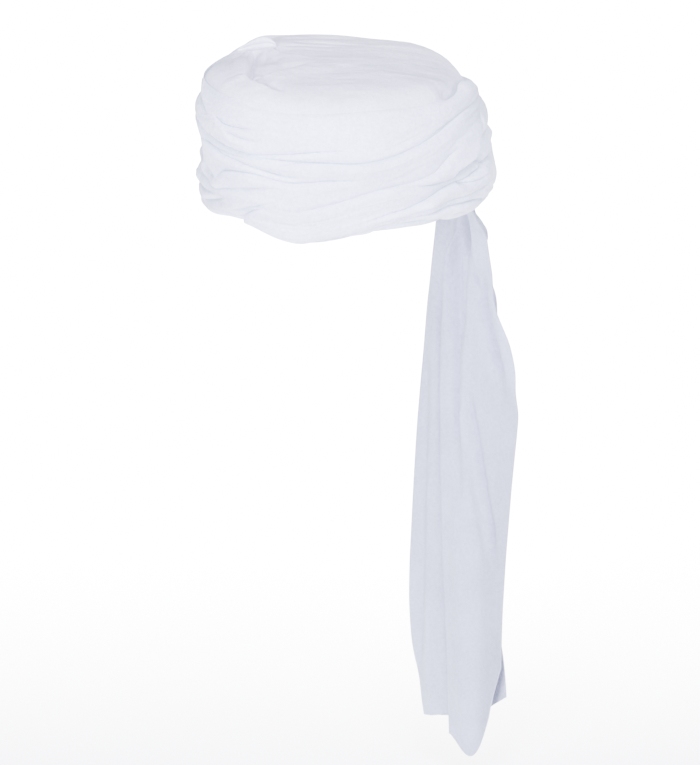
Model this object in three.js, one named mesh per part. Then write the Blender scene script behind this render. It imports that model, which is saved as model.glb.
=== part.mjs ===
// A wound cloth turban with a long folded tail hanging at the nape.
// Millimetres. +Z up, -Y is the brow, +X is the wearer's left.
// The origin is the centre of the head opening, level with the foot of the rim.
import * as THREE from 'three';

// Clearances between layers that touch
const CLOTH_GAP = 0.45;
const LAYER_GAP = 0.7;

// Head opening and crown
const HEAD_WIDTH = 160;
const HEAD_DEPTH = 204;
const CAP_WALL = 3;
const CROWN_RISE = 13.5;
const CROWN_SWELL = 2.5;
const CROWN_TILT = 0.05;
const CROWN_FOOT = 1.5;
const SWELL_REACH = 14;
const RIDGE_HEIGHT = 2.4;
const RIDGE_WIDTH = 9;
const DOME_ROUND = 2.8;
const DOME_SHOULDER = 2.2;
const CAP_FOOT = 3;

// Winding round the head
const WIND_HEIGHT = 107;
const WIND_THICKNESS = 20;
const LEAN = 8.7;
const LEAN_HEADING = 42;
const LAYER_SLANT = 8;
const ROLL_SLANT = 10;
const SEAM_DEPTH = 2.4;
const SEAM_WIDTH = 4.5;
const FOLD_DEPTH = 2;
const FOLD_WIDTH = 4;
const FOLD_FADE = 5;
const ROLL_HIDDEN_SHARE = 0.55;
const ROLL_SHOWN = 5;
const RIM_SLANT = 1.5;
const TOP_CLOTH = 1;
const TOP_SLANT = 4;

// Tail
const TAIL_DROP = 457;
const TAIL_TUCK = 40;
const TAIL_SPREAD = 85;
const TAIL_CLOTH = 1.2;
const TUCK_STEP = TAIL_CLOTH + LAYER_GAP;
const HANG_STEP = 4.6;
const TAIL_PANELS = 4;
const TAIL_SET_BACK = 6;
const TAIL_TWIST = 0.08;
const FLARE_DROP = 38;
const HOLLOW_DEPTH = 2.6;
const HOLLOW_FADE = 4;

// Pocket at the nape that the tail is tucked into
const TUCK_CLEARANCE = 1.8 * CLOTH_GAP;
const POCKET_DEPTH = TUCK_STEP * (TAIL_PANELS - 1) + TAIL_CLOTH + 2 * TUCK_CLEARANCE - CLOTH_GAP;
const POCKET_COVER = 9;
const POCKET_MARGIN = 4;
const POCKET_RAMP = 14;
const POCKET_HEADROOM = 12;
const POCKET_FADE = 20;

// Pinched knot of cloth on the crown
const TUCK_LENGTH = 34;
const TUCK_WIDTH = 14;
const TUCK_HEIGHT = 4;
const TUCK_EDGE = 1;
const TUCK_PLACE = { x: -0.66, y: -0.14 };

// Fineness of the facets
const STATIONS = 48;
const FACE_STEPS = { upper: 9, middle: 9, lower: 8, roll: 5 };
const BACK_STEPS = { few: [0.33, 0.67], middle: [0.1, 0.25, 0.55], upper: [0.12, 0.3, 0.5, 0.75] };
const EDGE_STEPS = [0.33, 0.67, 1];
const KNOT_RINGS = [0.35, 0.65, 0.88, 1];
const KNOT_SIDES = 18;
const PANEL_STEPS = [7, 4, 7, 6];
const TURN_STEPS = 3;
const TUCK_LEVELS = [1, 0.5, 0];
const HANG_LEVELS = [0.03, 0.06, 0.1, 0.15, 0.21, 0.28, 0.36, 0.45, 0.54, 0.63, 0.72, 0.8, 0.87, 0.94, 1];
const SWELL_RINGS = [0.15, 0.3, 0.5, 0.7, 0.88];
const DOME_RINGS = [1, 0.985, 0.945, 0.88, 0.78, 0.64, 0.46, 0.24];

// Heights of the rim and of each layer's upper edge round the head, as shares of WIND_HEIGHT.
// The heading is 0 at the brow and 90 at the wearer's left.
const EDGES = [
  { heading: -60, rim: 0.066, roll: 0.046, lower: 0.308, middle: 0.776, upper: 0.992 },
  { heading: -30, rim: 0.075, roll: 0.046, lower: 0.294, middle: 0.720, upper: 0.985 },
  { heading: 0, rim: 0.128, roll: 0.073, lower: 0.313, middle: 0.626, upper: 0.950 },
  { heading: 30, rim: 0.000, roll: 0.030, lower: 0.262, middle: 0.601, upper: 0.908 },
  { heading: 60, rim: 0.065, roll: 0.170, lower: 0.383, middle: 0.584, upper: 0.900 },
  { heading: 90, rim: 0.050, roll: 0.220, lower: 0.380, middle: 0.710, upper: 0.910 },
  { heading: 120, rim: 0.030, roll: 0.150, lower: 0.561, middle: 0.770, upper: 0.885 },
  { heading: 150, rim: 0.014, roll: 0.128, lower: 0.603, middle: 0.755, upper: 0.855 },
  { heading: 180, rim: 0.010, roll: 0.121, lower: 0.514, middle: 0.755, upper: 0.920 },
  { heading: 210, rim: 0.018, roll: 0.121, lower: 0.439, middle: 0.760, upper: 0.955 },
  { heading: 240, rim: 0.035, roll: 0.112, lower: 0.393, middle: 0.748, upper: 1.000 },
  { heading: 270, rim: 0.052, roll: 0.083, lower: 0.346, middle: 0.757, upper: 1.010 },
];

// Outline of the winding: height as a share of WIND_HEIGHT, thickness as a share of
// WIND_THICKNESS, and sideways lean as a share of LEAN.
const OUTLINE = [
  { height: 0.000, thick: 0.545, lean: 0.00 },
  { height: 0.084, thick: 0.715, lean: 0.00 },
  { height: 0.159, thick: 0.805, lean: 0.29 },
  { height: 0.318, thick: 0.920, lean: 0.20 },
  { height: 0.495, thick: 0.845, lean: 0.20 },
  { height: 0.617, thick: 0.795, lean: -0.09 },
  { height: 0.729, thick: 0.740, lean: -0.47 },
  { height: 0.822, thick: 0.690, lean: -0.48 },
  { height: 0.907, thick: 0.525, lean: -0.52 },
  { height: 1.000, thick: 0.250, lean: -0.66 },
];

// Folds across the layers: headings, heights as shares of WIND_HEIGHT, depth as a share of FOLD_DEPTH.
const FOLDS = [
  { from: -16, to: 58, start: 0.85, middle: 0.645, end: 0.665, depth: 0.8 },
  { from: -34, to: 32, start: 0.68, middle: 0.63, end: 0.495, depth: 0.8 },
  { from: -14, to: 52, start: 0.42, middle: 0.485, end: 0.475, depth: 0.7 },
  { from: -40, to: 30, start: 0.35, middle: 0.375, end: 0.445, depth: 0.8 },
  { from: 26, to: 106, start: 0.25, middle: 0.40, end: 0.61, depth: 1.0 },
  { from: 50, to: 112, start: 0.12, middle: 0.155, end: 0.09, depth: 0.6 },
  { from: 84, to: 140, start: 0.42, middle: 0.56, end: 0.75, depth: 1.0 },
  { from: 128, to: 216, start: 0.40, middle: 0.33, end: 0.24, depth: 1.0 },
  { from: 140, to: 250, start: 0.73, middle: 0.68, end: 0.55, depth: 0.9 },
  { from: 200, to: 300, start: 0.66, middle: 0.58, end: 0.50, depth: 0.8 },
  { from: 230, to: 318, start: 0.24, middle: 0.20, end: 0.22, depth: 0.8 },
  { from: 236, to: 330, start: 0.90, middle: 0.86, end: 0.92, depth: 0.7 },
];

// Soft ridges on the crown: ends as shares of the crown's half width and half depth,
// height and width as shares of RIDGE_HEIGHT and RIDGE_WIDTH.
const CROWN_RIDGES = [
  { x0: -0.74, y0: -0.16, x1: -0.30, y1: -0.72, height: 1.0, width: 1.0 },
  { x0: -0.30, y0: -0.72, x1: 0.20, y1: -0.86, height: 0.9, width: 0.9 },
  { x0: -0.62, y0: -0.05, x1: 0.30, y1: 0.50, height: 0.65, width: 1.3 },
];

// The tail's folds down its length. The drop is a share of TAIL_DROP; the others are places across
// the wearer's back, as shares of TAIL_SPREAD: the free edge, the front fold, the hidden turn,
// the left fold and the back edge.
const TAIL_SECTIONS = [
  { drop: 0.00, free: 0.66, front: 0.30, turn: 0.52, left: 0.01, back: 0.50 },
  { drop: 0.06, free: 0.68, front: 0.28, turn: 0.52, left: -0.02, back: 0.50 },
  { drop: 0.13, free: 0.745, front: 0.19, turn: 0.52, left: -0.06, back: 0.58 },
  { drop: 0.245, free: 0.95, front: 0.13, turn: 0.60, left: -0.13, back: 0.72 },
  { drop: 0.35, free: 1.02, front: 0.12, turn: 0.66, left: -0.19, back: 0.78 },
  { drop: 0.525, free: 0.95, front: 0.14, turn: 0.62, left: -0.26, back: 0.78 },
  { drop: 0.71, free: 0.87, front: 0.18, turn: 0.56, left: -0.31, back: 0.78 },
  { drop: 0.83, free: 0.87, front: 0.215, turn: 0.52, left: -0.28, back: 0.80 },
  { drop: 1.00, free: 0.82, front: 0.25, turn: 0.50, left: -0.07, back: 0.79 },
];

// Lower end of the cloth along its width, from the free edge to the back edge:
// place is counted in panels, drop is a share of TAIL_DROP.
const TAIL_HEM = [
  { place: 0.0, drop: 0.830 },
  { place: 0.48, drop: 0.995 },
  { place: 1.0, drop: 0.972 },
  { place: 2.0, drop: 0.880 },
  { place: 2.45, drop: 0.893 },
  { place: 3.0, drop: 0.972 },
  { place: 3.6, drop: 0.930 },
  { place: 4.0, drop: 0.890 },
];

// Hollows down the hanging tail: top and foot as shares of TAIL_DROP, places across and width as
// shares of TAIL_SPREAD, depth as a share of HOLLOW_DEPTH.
const TAIL_HOLLOWS = [
  { top: 0.05, foot: 0.62, from: 0.30, to: 0.36, depth: 0.85, width: 0.08 },
  { top: 0.10, foot: 0.36, from: 0.36, to: 0.86, depth: 1.0, width: 0.11 },
  { top: 0.34, foot: 0.92, from: 0.36, to: 0.74, depth: 0.7, width: 0.09 },
  { top: 0.10, foot: 0.98, from: -0.02, to: -0.12, depth: 0.7, width: 0.09 },
];

const RAD = Math.PI / 180;
const lerp = (a, b, t) => a + (b - a) * t;
const clamp01 = (t) => Math.min(1, Math.max(0, t));
const smooth = (t) => clamp01(t) ** 2 * (3 - 2 * clamp01(t));

// A smooth curve through the rows of a table, read at x.
function throughRows(rows, xKey, yKey, x, period = 0) {
  const n = rows.length;
  const row = (i) => {
    if (!period) {
      const j = Math.min(n - 1, Math.max(0, i));
      return [rows[j][xKey], rows[j][yKey]];
    }
    const turns = Math.floor(i / n);
    const j = i - turns * n;
    return [rows[j][xKey] + turns * period, rows[j][yKey]];
  };
  let at = x;
  if (period) at = x - period * Math.floor((x - rows[0][xKey]) / period);
  else at = Math.min(rows[n - 1][xKey], Math.max(rows[0][xKey], x));
  let i = 0;
  while (i < (period ? n - 1 : n - 2) && row(i + 1)[0] <= at) i += 1;
  const [x0, y0] = row(i - 1);
  const [x1, y1] = row(i);
  const [x2, y2] = row(i + 1);
  const [x3, y3] = row(i + 2);
  const span = x2 - x1;
  const slope1 = x2 > x0 ? (y2 - y0) / (x2 - x0) : 0;
  const slope2 = x3 > x1 ? (y3 - y1) / (x3 - x1) : 0;
  const t = (at - x1) / span;
  const a = 2 * (y1 - y2) + span * (slope1 + slope2);
  const b = 3 * (y2 - y1) - span * (2 * slope1 + slope2);
  return ((a * t + b) * t + span * slope1) * t + y1;
}

const edgeHeight = (key, heading) => WIND_HEIGHT * throughRows(EDGES, 'heading', key, heading, 360);

// A place on the oval of the head opening, moved out by a distance and aside by the lean.
function onOval(heading, out, z, lean) {
  const angle = heading * RAD;
  return new THREE.Vector3(
    (HEAD_WIDTH / 2 + out) * Math.sin(angle) + lean * Math.cos(LEAN_HEADING * RAD),
    -(HEAD_DEPTH / 2 + out) * Math.cos(angle) + lean * Math.sin(LEAN_HEADING * RAD),
    z,
  );
}

// The crown's edge, just over the winding's top, and how far it has swollen out there, from 0 to 1.
const crownEdge = (heading) => edgeHeight('upper', heading) + TOP_SLANT + CROWN_FOOT;
const swell = (heading, z) => smooth((z - crownEdge(heading)) / SWELL_REACH + 1);

// The cap's outside, with a clearance added.
function capSide(heading, z, clearance) {
  const grown = swell(heading, z);
  return onOval(heading, CAP_WALL + CROWN_SWELL * grown + clearance, z, -LEAN * grown);
}

// Lip and groove of the folds that cross a place on the winding.
function foldRelief(heading, z) {
  let relief = 0;
  for (const fold of FOLDS) {
    const turned = heading - 360 * Math.round((heading - (fold.from + fold.to) / 2) / 360);
    const along = (turned - fold.from) / (fold.to - fold.from);
    if (along <= 0 || along >= 1) continue;
    const bend = fold.middle - (fold.start + fold.end) / 2;
    const height = WIND_HEIGHT * (lerp(fold.start, fold.end, along) + 4 * bend * along * (1 - along));
    const across = (z - height) / FOLD_WIDTH;
    const fade = smooth(FOLD_FADE * along) * smooth(FOLD_FADE * (1 - along));
    relief += FOLD_DEPTH * fold.depth * fade * across * Math.exp(0.5 - across * across / 2);
  }
  return relief;
}

// The hollow where one layer's edge meets the next.
function seamDip(heading, z) {
  let dip = 0;
  for (const key of ['rim', 'roll', 'lower', 'middle', 'upper']) {
    const rim = edgeHeight('rim', heading);
    const across = (z - Math.max(rim, edgeHeight(key, heading))) / SEAM_WIDTH;
    dip = Math.max(dip, Math.exp(-across * across));
  }
  return SEAM_DEPTH * dip;
}

// The heading at the nape of a place across the wearer's back.
function napeHeading(across) {
  const half = HEAD_WIDTH / 2 + CAP_WALL + POCKET_DEPTH / 2;
  return 180 - Math.asin(Math.min(1, across / half)) / RAD;
}

// How far the pocket for the tail is open at a heading and a height, from 0 to 1.
function pocketOpen(heading, z) {
  const from = napeHeading(TAIL_SPREAD * TAIL_SECTIONS[0].free) - POCKET_MARGIN;
  const to = napeHeading(TAIL_SPREAD * TAIL_SECTIONS[0].left) + POCKET_MARGIN;
  const middle = (from + to) / 2;
  const off = Math.abs(heading - middle - 360 * Math.round((heading - middle) / 360));
  const round = 1 - smooth((off - (to - from) / 2) / POCKET_RAMP);
  return round * (1 - smooth((z - TAIL_TUCK - POCKET_HEADROOM) / POCKET_FADE));
}

// The winding's outside.
function windSide(heading, z) {
  const share = z / WIND_HEIGHT;
  const thick = WIND_THICKNESS * throughRows(OUTLINE, 'height', 'thick', share);
  const lean = LEAN * throughRows(OUTLINE, 'height', 'lean', share);
  const least = CAP_WALL + CROWN_SWELL + CLOTH_GAP + TOP_CLOTH;
  const out = Math.max(least, CAP_WALL + thick + foldRelief(heading, z) - seamDip(heading, z));
  const overPocket = CAP_WALL + CLOTH_GAP + POCKET_DEPTH + POCKET_COVER;
  return onOval(heading, lerp(out, Math.max(out, overPocket), pocketOpen(heading, z)), z, lean);
}

// A place within the winding: share 0 lies on the cap, 1 on the outside.
const inWinding = (heading, z, share) => capSide(heading, z, CLOTH_GAP).lerp(windSide(heading, z), share);

// The share of the winding that the pocket takes from within.
function pocketShare(heading, z) {
  const wall = capSide(heading, z, CLOTH_GAP).distanceTo(windSide(heading, z));
  return pocketOpen(heading, z) * POCKET_DEPTH / wall;
}

const rollTop = (heading) => Math.max(edgeHeight('roll', heading), edgeHeight('rim', heading));
const rollShare = (heading) => {
  const shown = (edgeHeight('roll', heading) - edgeHeight('rim', heading)) / ROLL_SHOWN;
  return lerp(ROLL_HIDDEN_SHARE, 1, smooth(shown));
};

// The four layers from the rim up. Each edge is a height that climbs inward by its slant.
const LAYERS = {
  rim_roll: {
    foot: (h) => edgeHeight('rim', h),
    footSlant: RIM_SLANT,
    top: (h) => rollTop(h) - LAYER_GAP / 2,
    topSlant: ROLL_SLANT,
    outer: rollShare,
    inner: pocketShare,
    steps: FACE_STEPS.roll,
    backSteps: BACK_STEPS.few,
  },
  lower_wrap: {
    foot: (h) => rollTop(h) + LAYER_GAP / 2,
    footSlant: ROLL_SLANT,
    top: (h) => edgeHeight('lower', h) - LAYER_GAP / 2,
    topSlant: LAYER_SLANT,
    outer: () => 1,
    inner: pocketShare,
    steps: FACE_STEPS.lower,
    backSteps: BACK_STEPS.few,
  },
  middle_wrap: {
    foot: (h) => edgeHeight('lower', h) + LAYER_GAP / 2,
    footSlant: LAYER_SLANT,
    top: (h) => edgeHeight('middle', h) - LAYER_GAP / 2,
    topSlant: LAYER_SLANT,
    outer: () => 1,
    inner: pocketShare,
    steps: FACE_STEPS.middle,
    backSteps: BACK_STEPS.middle,
  },
  upper_wrap: {
    foot: (h) => edgeHeight('middle', h) + LAYER_GAP / 2,
    footSlant: LAYER_SLANT,
    top: (h) => edgeHeight('upper', h),
    topSlant: TOP_SLANT,
    outer: () => 1,
    inner: pocketShare,
    steps: FACE_STEPS.upper,
    backSteps: BACK_STEPS.upper,
  },
};

// One closed section of a layer at a heading, going round it once.
function layerSection(layer, heading) {
  const innerTop = layer.inner(heading, layer.top(heading));
  const innerFoot = layer.inner(heading, layer.foot(heading));
  const outer = layer.outer(heading);
  const footAt = (share) => layer.foot(heading) + layer.footSlant * (1 - share);
  const topAt = (share) => layer.top(heading) + layer.topSlant * (1 - share);
  const points = [];
  for (let i = 0; i <= layer.steps; i += 1) {
    const z = lerp(footAt(outer), topAt(outer), i / layer.steps);
    points.push(inWinding(heading, z, outer));
  }
  for (const t of EDGE_STEPS) {
    const share = lerp(outer, innerTop, t);
    points.push(inWinding(heading, topAt(share), share));
  }
  for (const t of layer.backSteps) {
    const z = lerp(topAt(innerTop), footAt(innerFoot), t);
    points.push(inWinding(heading, z, layer.inner(heading, z)));
  }
  for (const t of [...EDGE_STEPS].reverse()) {
    const share = lerp(outer, innerFoot, t);
    points.push(inWinding(heading, footAt(share), share));
  }
  return points;
}

// A geometry from points and triangles, turned so that its faces point out.
function solid(points, triangles) {
  let volume = 0;
  for (const [a, b, c] of triangles) {
    volume += points[a].dot(new THREE.Vector3().crossVectors(points[b], points[c])) / 6;
  }
  const faces = volume < 0 ? triangles.map(([a, b, c]) => [a, c, b]) : triangles;
  const geometry = new THREE.BufferGeometry();
  geometry.setAttribute('position', new THREE.Float32BufferAttribute(points.flatMap((p) => p.toArray()), 3));
  geometry.setIndex(faces.flat());
  geometry.computeVertexNormals();
  return geometry;
}

// Two triangles between neighbours in two rows of points.
function quad(triangles, a, b, c, d) {
  triangles.push([a, b, c], [a, c, d]);
}

// A closed ring lofted through sections all round the head.
function ringSolid(sectionAt) {
  const points = [];
  const triangles = [];
  let size = 0;
  for (let j = 0; j < STATIONS; j += 1) {
    const section = sectionAt(j * 360 / STATIONS);
    size = section.length;
    points.push(...section);
  }
  for (let j = 0; j < STATIONS; j += 1) {
    const next = (j + 1) % STATIONS;
    for (let i = 0; i < size; i += 1) {
      const up = (i + 1) % size;
      quad(triangles, j * size + i, next * size + i, next * size + up, j * size + up);
    }
  }
  return solid(points, triangles);
}

const MEAN_EDGE = EDGES.reduce((sum, row) => sum + crownEdge(row.heading), 0) / EDGES.length;
const crownHalf = (size) => size / 2 + CAP_WALL + CROWN_SWELL;

// Height of the soft ridges where cloth is gathered over the crown.
function crownRelief(x, y) {
  let relief = 0;
  for (const ridge of CROWN_RIDGES) {
    const a = new THREE.Vector2(ridge.x0 * crownHalf(HEAD_WIDTH), ridge.y0 * crownHalf(HEAD_DEPTH));
    const b = new THREE.Vector2(ridge.x1 * crownHalf(HEAD_WIDTH), ridge.y1 * crownHalf(HEAD_DEPTH));
    const run = b.clone().sub(a);
    const t = clamp01(new THREE.Vector2(x, y).sub(a).dot(run) / run.lengthSq());
    const far = a.addScaledVector(run, t).distanceTo(new THREE.Vector2(x, y)) / (RIDGE_WIDTH * ridge.width);
    relief = Math.max(relief, RIDGE_HEIGHT * ridge.height * Math.exp(-far * far));
  }
  return relief;
}

// A place on the crown's dome: rho is 1 at its edge and 0 at its top.
function onDome(heading, rho) {
  const edge = capSide(heading, crownEdge(heading), 0);
  const middle = onOval(0, 0, 0, -LEAN).sub(onOval(0, 0, 0, 0));
  const x = lerp(middle.x, edge.x, rho);
  const y = lerp(middle.y, edge.y, rho);
  const side = (x - middle.x) * Math.cos(LEAN_HEADING * RAD) + (y - middle.y) * Math.sin(LEAN_HEADING * RAD);
  const rise = CROWN_RISE * (1 - rho ** DOME_ROUND) ** (1 / DOME_SHOULDER);
  const inside = 1 - rho ** 6;
  const foot = lerp(MEAN_EDGE, edge.z, rho * rho);
  const relief = crownRelief(x - middle.x, y - middle.y) - CROWN_TILT * side;
  return new THREE.Vector3(x, y, foot + rise + inside * relief);
}

// A place on the dome's inside, a cap wall in from its outside.
function underDome(heading, rho) {
  const outside = onDome(heading, rho);
  const middle = onDome(0, 0);
  const flat = Math.hypot(outside.x - middle.x, outside.y - middle.y);
  const keep = (flat - CAP_WALL) / flat;
  return new THREE.Vector3(
    lerp(middle.x, outside.x, keep),
    lerp(middle.y, outside.y, keep),
    outside.z - CAP_WALL * (1 - rho ** 4),
  );
}

// The hollow cap: its wall stands round the head and its dome closes over it.
function crownCap() {
  const ring = (at) => Array.from({ length: STATIONS }, (_, j) => at(j * 360 / STATIONS));
  const foot = (h) => edgeHeight('rim', h) + CAP_FOOT;
  const shoulder = (h) => crownEdge(h) - SWELL_REACH;
  const wall = [foot, shoulder];
  const swelling = SWELL_RINGS.map((share) => (h) => lerp(shoulder(h), crownEdge(h), share));
  const rings = [
    ...DOME_RINGS.map((rho) => ring((h) => underDome(h, rho))).reverse(),
    ...wall.map((height) => ring((h) => onOval(h, 0, height(h), 0))).reverse(),
    ...[...wall, ...swelling].map((height) => ring((h) => capSide(h, height(h), 0))),
    ...DOME_RINGS.map((rho) => ring((h) => onDome(h, rho))),
  ];
  const points = rings.flat();
  const triangles = [];
  for (let r = 0; r + 1 < rings.length; r += 1) {
    const low = r * STATIONS;
    const high = low + STATIONS;
    for (let j = 0; j < STATIONS; j += 1) {
      const next = (j + 1) % STATIONS;
      quad(triangles, low + j, low + next, high + next, high + j);
    }
  }
  const last = (rings.length - 1) * STATIONS;
  const innerTop = points.push(onDome(0, 0).sub(new THREE.Vector3(0, 0, CAP_WALL))) - 1;
  const outerTop = points.push(onDome(0, 0)) - 1;
  for (let j = 0; j < STATIONS; j += 1) {
    const next = (j + 1) % STATIONS;
    triangles.push([innerTop, next, j], [outerTop, last + j, last + next]);
  }
  return solid(points, triangles);
}

// The dome's height over a place seen from above.
function domeOver(x, y) {
  const middle = onDome(0, 0);
  const u = (x - middle.x) / crownHalf(HEAD_WIDTH);
  const v = (y - middle.y) / crownHalf(HEAD_DEPTH);
  return onDome(Math.atan2(u, -v) / RAD, Math.min(1, Math.hypot(u, v))).z;
}

// The pinched knot: a lens of gathered cloth that lies on the dome.
function crownTuck() {
  const rings = KNOT_RINGS;
  const sides = KNOT_SIDES;
  const middle = onDome(0, 0);
  const centre = new THREE.Vector2(
    middle.x + TUCK_PLACE.x * crownHalf(HEAD_WIDTH),
    middle.y + TUCK_PLACE.y * crownHalf(HEAD_DEPTH),
  );
  const along = new THREE.Vector2(Math.cos(LEAN_HEADING * RAD), Math.sin(LEAN_HEADING * RAD));
  const place = (ring, side, top) => {
    const angle = side * 2 * Math.PI / sides;
    const s = ring * TUCK_LENGTH / 2 * Math.cos(angle);
    const t = ring * TUCK_WIDTH / 2 * Math.sin(angle);
    const x = centre.x + s * along.x - t * along.y;
    const y = centre.y + s * along.y + t * along.x;
    const height = top ? TUCK_EDGE + TUCK_HEIGHT * Math.sqrt(Math.max(0, 1 - ring * ring)) : 0;
    return new THREE.Vector3(x, y, domeOver(x, y) + CLOTH_GAP + height);
  };
  const points = [];
  const triangles = [];
  for (const top of [true, false]) {
    const base = points.length;
    points.push(place(0, 0, top));
    for (const ring of rings) for (let j = 0; j < sides; j += 1) points.push(place(ring, j, top));
    for (let j = 0; j < sides; j += 1) {
      const next = (j + 1) % sides;
      const fan = [base, base + 1 + j, base + 1 + next];
      triangles.push(top ? fan : [fan[0], fan[2], fan[1]]);
      for (let r = 0; r + 1 < rings.length; r += 1) {
        const a = base + 1 + r * sides;
        const b = a + sides;
        if (top) quad(triangles, a + j, b + j, b + next, a + next);
        else quad(triangles, a + j, a + next, b + next, b + j);
      }
    }
  }
  const rim = 1 + (rings.length - 1) * sides;
  const under = points.length / 2;
  for (let j = 0; j < sides; j += 1) {
    const next = (j + 1) % sides;
    quad(triangles, rim + j, under + rim + j, under + rim + next, rim + next);
  }
  return solid(points, triangles);
}

// Where the tail's cloth runs across at one level: a list of places, each with its panel.
function tailRun() {
  const run = [];
  PANEL_STEPS.forEach((steps, panel) => {
    const last = panel === TAIL_PANELS - 1;
    for (let i = 0; i <= steps; i += 1) run.push({ panel, across: i / steps, round: 0 });
    for (let i = 1; i < TURN_STEPS && !last; i += 1) run.push({ panel, across: 1, round: i / TURN_STEPS });
  });
  return run;
}

// Height of the lower end of the cloth at a place along its width.
const hemDrop = (place) => TAIL_DROP * throughRows(TAIL_HEM, 'place', 'drop', place);

// The middle of the tail's cloth at a place along its width and a height.
function tailPoint(spot, z) {
  const share = clamp01(-z / TAIL_DROP);
  const folds = ['free', 'front', 'turn', 'left', 'back'];
  const at = (key) => TAIL_SPREAD * throughRows(TAIL_SECTIONS, 'drop', key, share);
  const from = at(folds[spot.panel]);
  const to = at(folds[spot.panel + 1]);
  const hang = smooth(-z / FLARE_DROP);
  const step = lerp(TUCK_STEP, HANG_STEP, hang);
  const outwards = Math.sign(to - from);
  const bulge = Math.sin(Math.PI * spot.round) * step / 2;
  const x = lerp(from, to, spot.across) + outwards * bulge;
  const layer = spot.panel + (1 - Math.cos(Math.PI * spot.round)) / 2;
  const tucked = CAP_WALL + TUCK_CLEARANCE + TAIL_CLOTH / 2 + TUCK_STEP * layer;
  const halfWidth = HEAD_WIDTH / 2 + tucked;
  const tuckedY = (HEAD_DEPTH / 2 + tucked) * Math.sqrt(Math.max(0, 1 - (x / halfWidth) ** 2));
  const middle = TAIL_SPREAD / 4;
  const hungY = HEAD_DEPTH / 2 + TAIL_SET_BACK + HANG_STEP * (layer - (TAIL_PANELS - 1) / 2)
    + TAIL_TWIST * (x - middle);
  let hollow = 0;
  for (const row of TAIL_HOLLOWS) {
    const t = (share - row.top) / (row.foot - row.top);
    if (t <= 0 || t >= 1) continue;
    const far = (x / TAIL_SPREAD - lerp(row.from, row.to, t)) / row.width;
    const fade = smooth(HOLLOW_FADE * t) * smooth(HOLLOW_FADE * (1 - t));
    hollow += HOLLOW_DEPTH * row.depth * fade * Math.exp(-far * far);
  }
  return new THREE.Vector3(x, lerp(tuckedY, hungY + hollow, hang), z);
}

// A sheet of cloth: a grid of places given its thickness, closed along its edges.
function sheetSolid(grid, thickness) {
  const rows = grid.length;
  const columns = grid[0].length;
  const pick = (r, c) => grid[Math.min(rows - 1, Math.max(0, r))][Math.min(columns - 1, Math.max(0, c))];
  const points = [];
  for (const side of [1, -1]) {
    for (let r = 0; r < rows; r += 1) {
      for (let c = 0; c < columns; c += 1) {
        const down = pick(r + 1, c).clone().sub(pick(r - 1, c));
        const across = pick(r, c + 1).clone().sub(pick(r, c - 1));
        const normal = down.cross(across).normalize();
        points.push(grid[r][c].clone().addScaledVector(normal, side * thickness / 2));
      }
    }
  }
  const back = rows * columns;
  const id = (r, c, side = 0) => side * back + r * columns + c;
  const triangles = [];
  const end = columns - 1;
  for (let r = 0; r + 1 < rows; r += 1) {
    for (let c = 0; c + 1 < columns; c += 1) {
      quad(triangles, id(r, c), id(r + 1, c), id(r + 1, c + 1), id(r, c + 1));
      quad(triangles, id(r, c, 1), id(r, c + 1, 1), id(r + 1, c + 1, 1), id(r + 1, c, 1));
    }
    quad(triangles, id(r, 0), id(r, 0, 1), id(r + 1, 0, 1), id(r + 1, 0));
    quad(triangles, id(r, end), id(r + 1, end), id(r + 1, end, 1), id(r, end, 1));
  }
  for (let c = 0; c + 1 < columns; c += 1) {
    quad(triangles, id(0, c), id(0, c + 1), id(0, c + 1, 1), id(0, c, 1));
    quad(triangles, id(rows - 1, c), id(rows - 1, c, 1), id(rows - 1, c + 1, 1), id(rows - 1, c + 1));
  }
  return solid(points, triangles);
}

// The tail, from the top of its tuck to its hem.
function tailCloth() {
  const run = tailRun();
  const tucked = TUCK_LEVELS.map((share) => run.map((spot) => tailPoint(spot, TAIL_TUCK * share)));
  const hung = HANG_LEVELS.map((share) => (
    run.map((spot) => tailPoint(spot, -share * hemDrop(spot.panel + spot.across)))
  ));
  return sheetSolid([...tucked, ...hung], TAIL_CLOTH);
}

const cloth = (colour) => new THREE.MeshStandardMaterial({ color: colour, roughness: 0.95, metalness: 0 });
const WINDING_WHITE = '#e6e8ef';
const CROWN_WHITE = '#dddde2';
const TAIL_WHITE = '#d8d9e2';

const turban = new THREE.Group();
function add(name, geometry, colour) {
  const mesh = new THREE.Mesh(geometry, cloth(colour));
  mesh.name = name;
  turban.add(mesh);
}

add('crown_cap', crownCap(), CROWN_WHITE);
for (const [name, layer] of Object.entries(LAYERS)) {
  add(name, ringSolid((heading) => layerSection(layer, heading)), WINDING_WHITE);
}
add('crown_tuck', crownTuck(), CROWN_WHITE);
add('tail', tailCloth(), TAIL_WHITE);

export default turban;
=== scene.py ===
"""A white wound turban with a long folded tail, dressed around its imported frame.

Laid out as a Blender add-on and run as a script. Metres, +Z up, -Y is the brow and +X the
wearer's left. Headings go round the head in degrees: 0 at the brow, 90 at the wearer's left.
"""
import math
from collections import namedtuple

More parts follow.
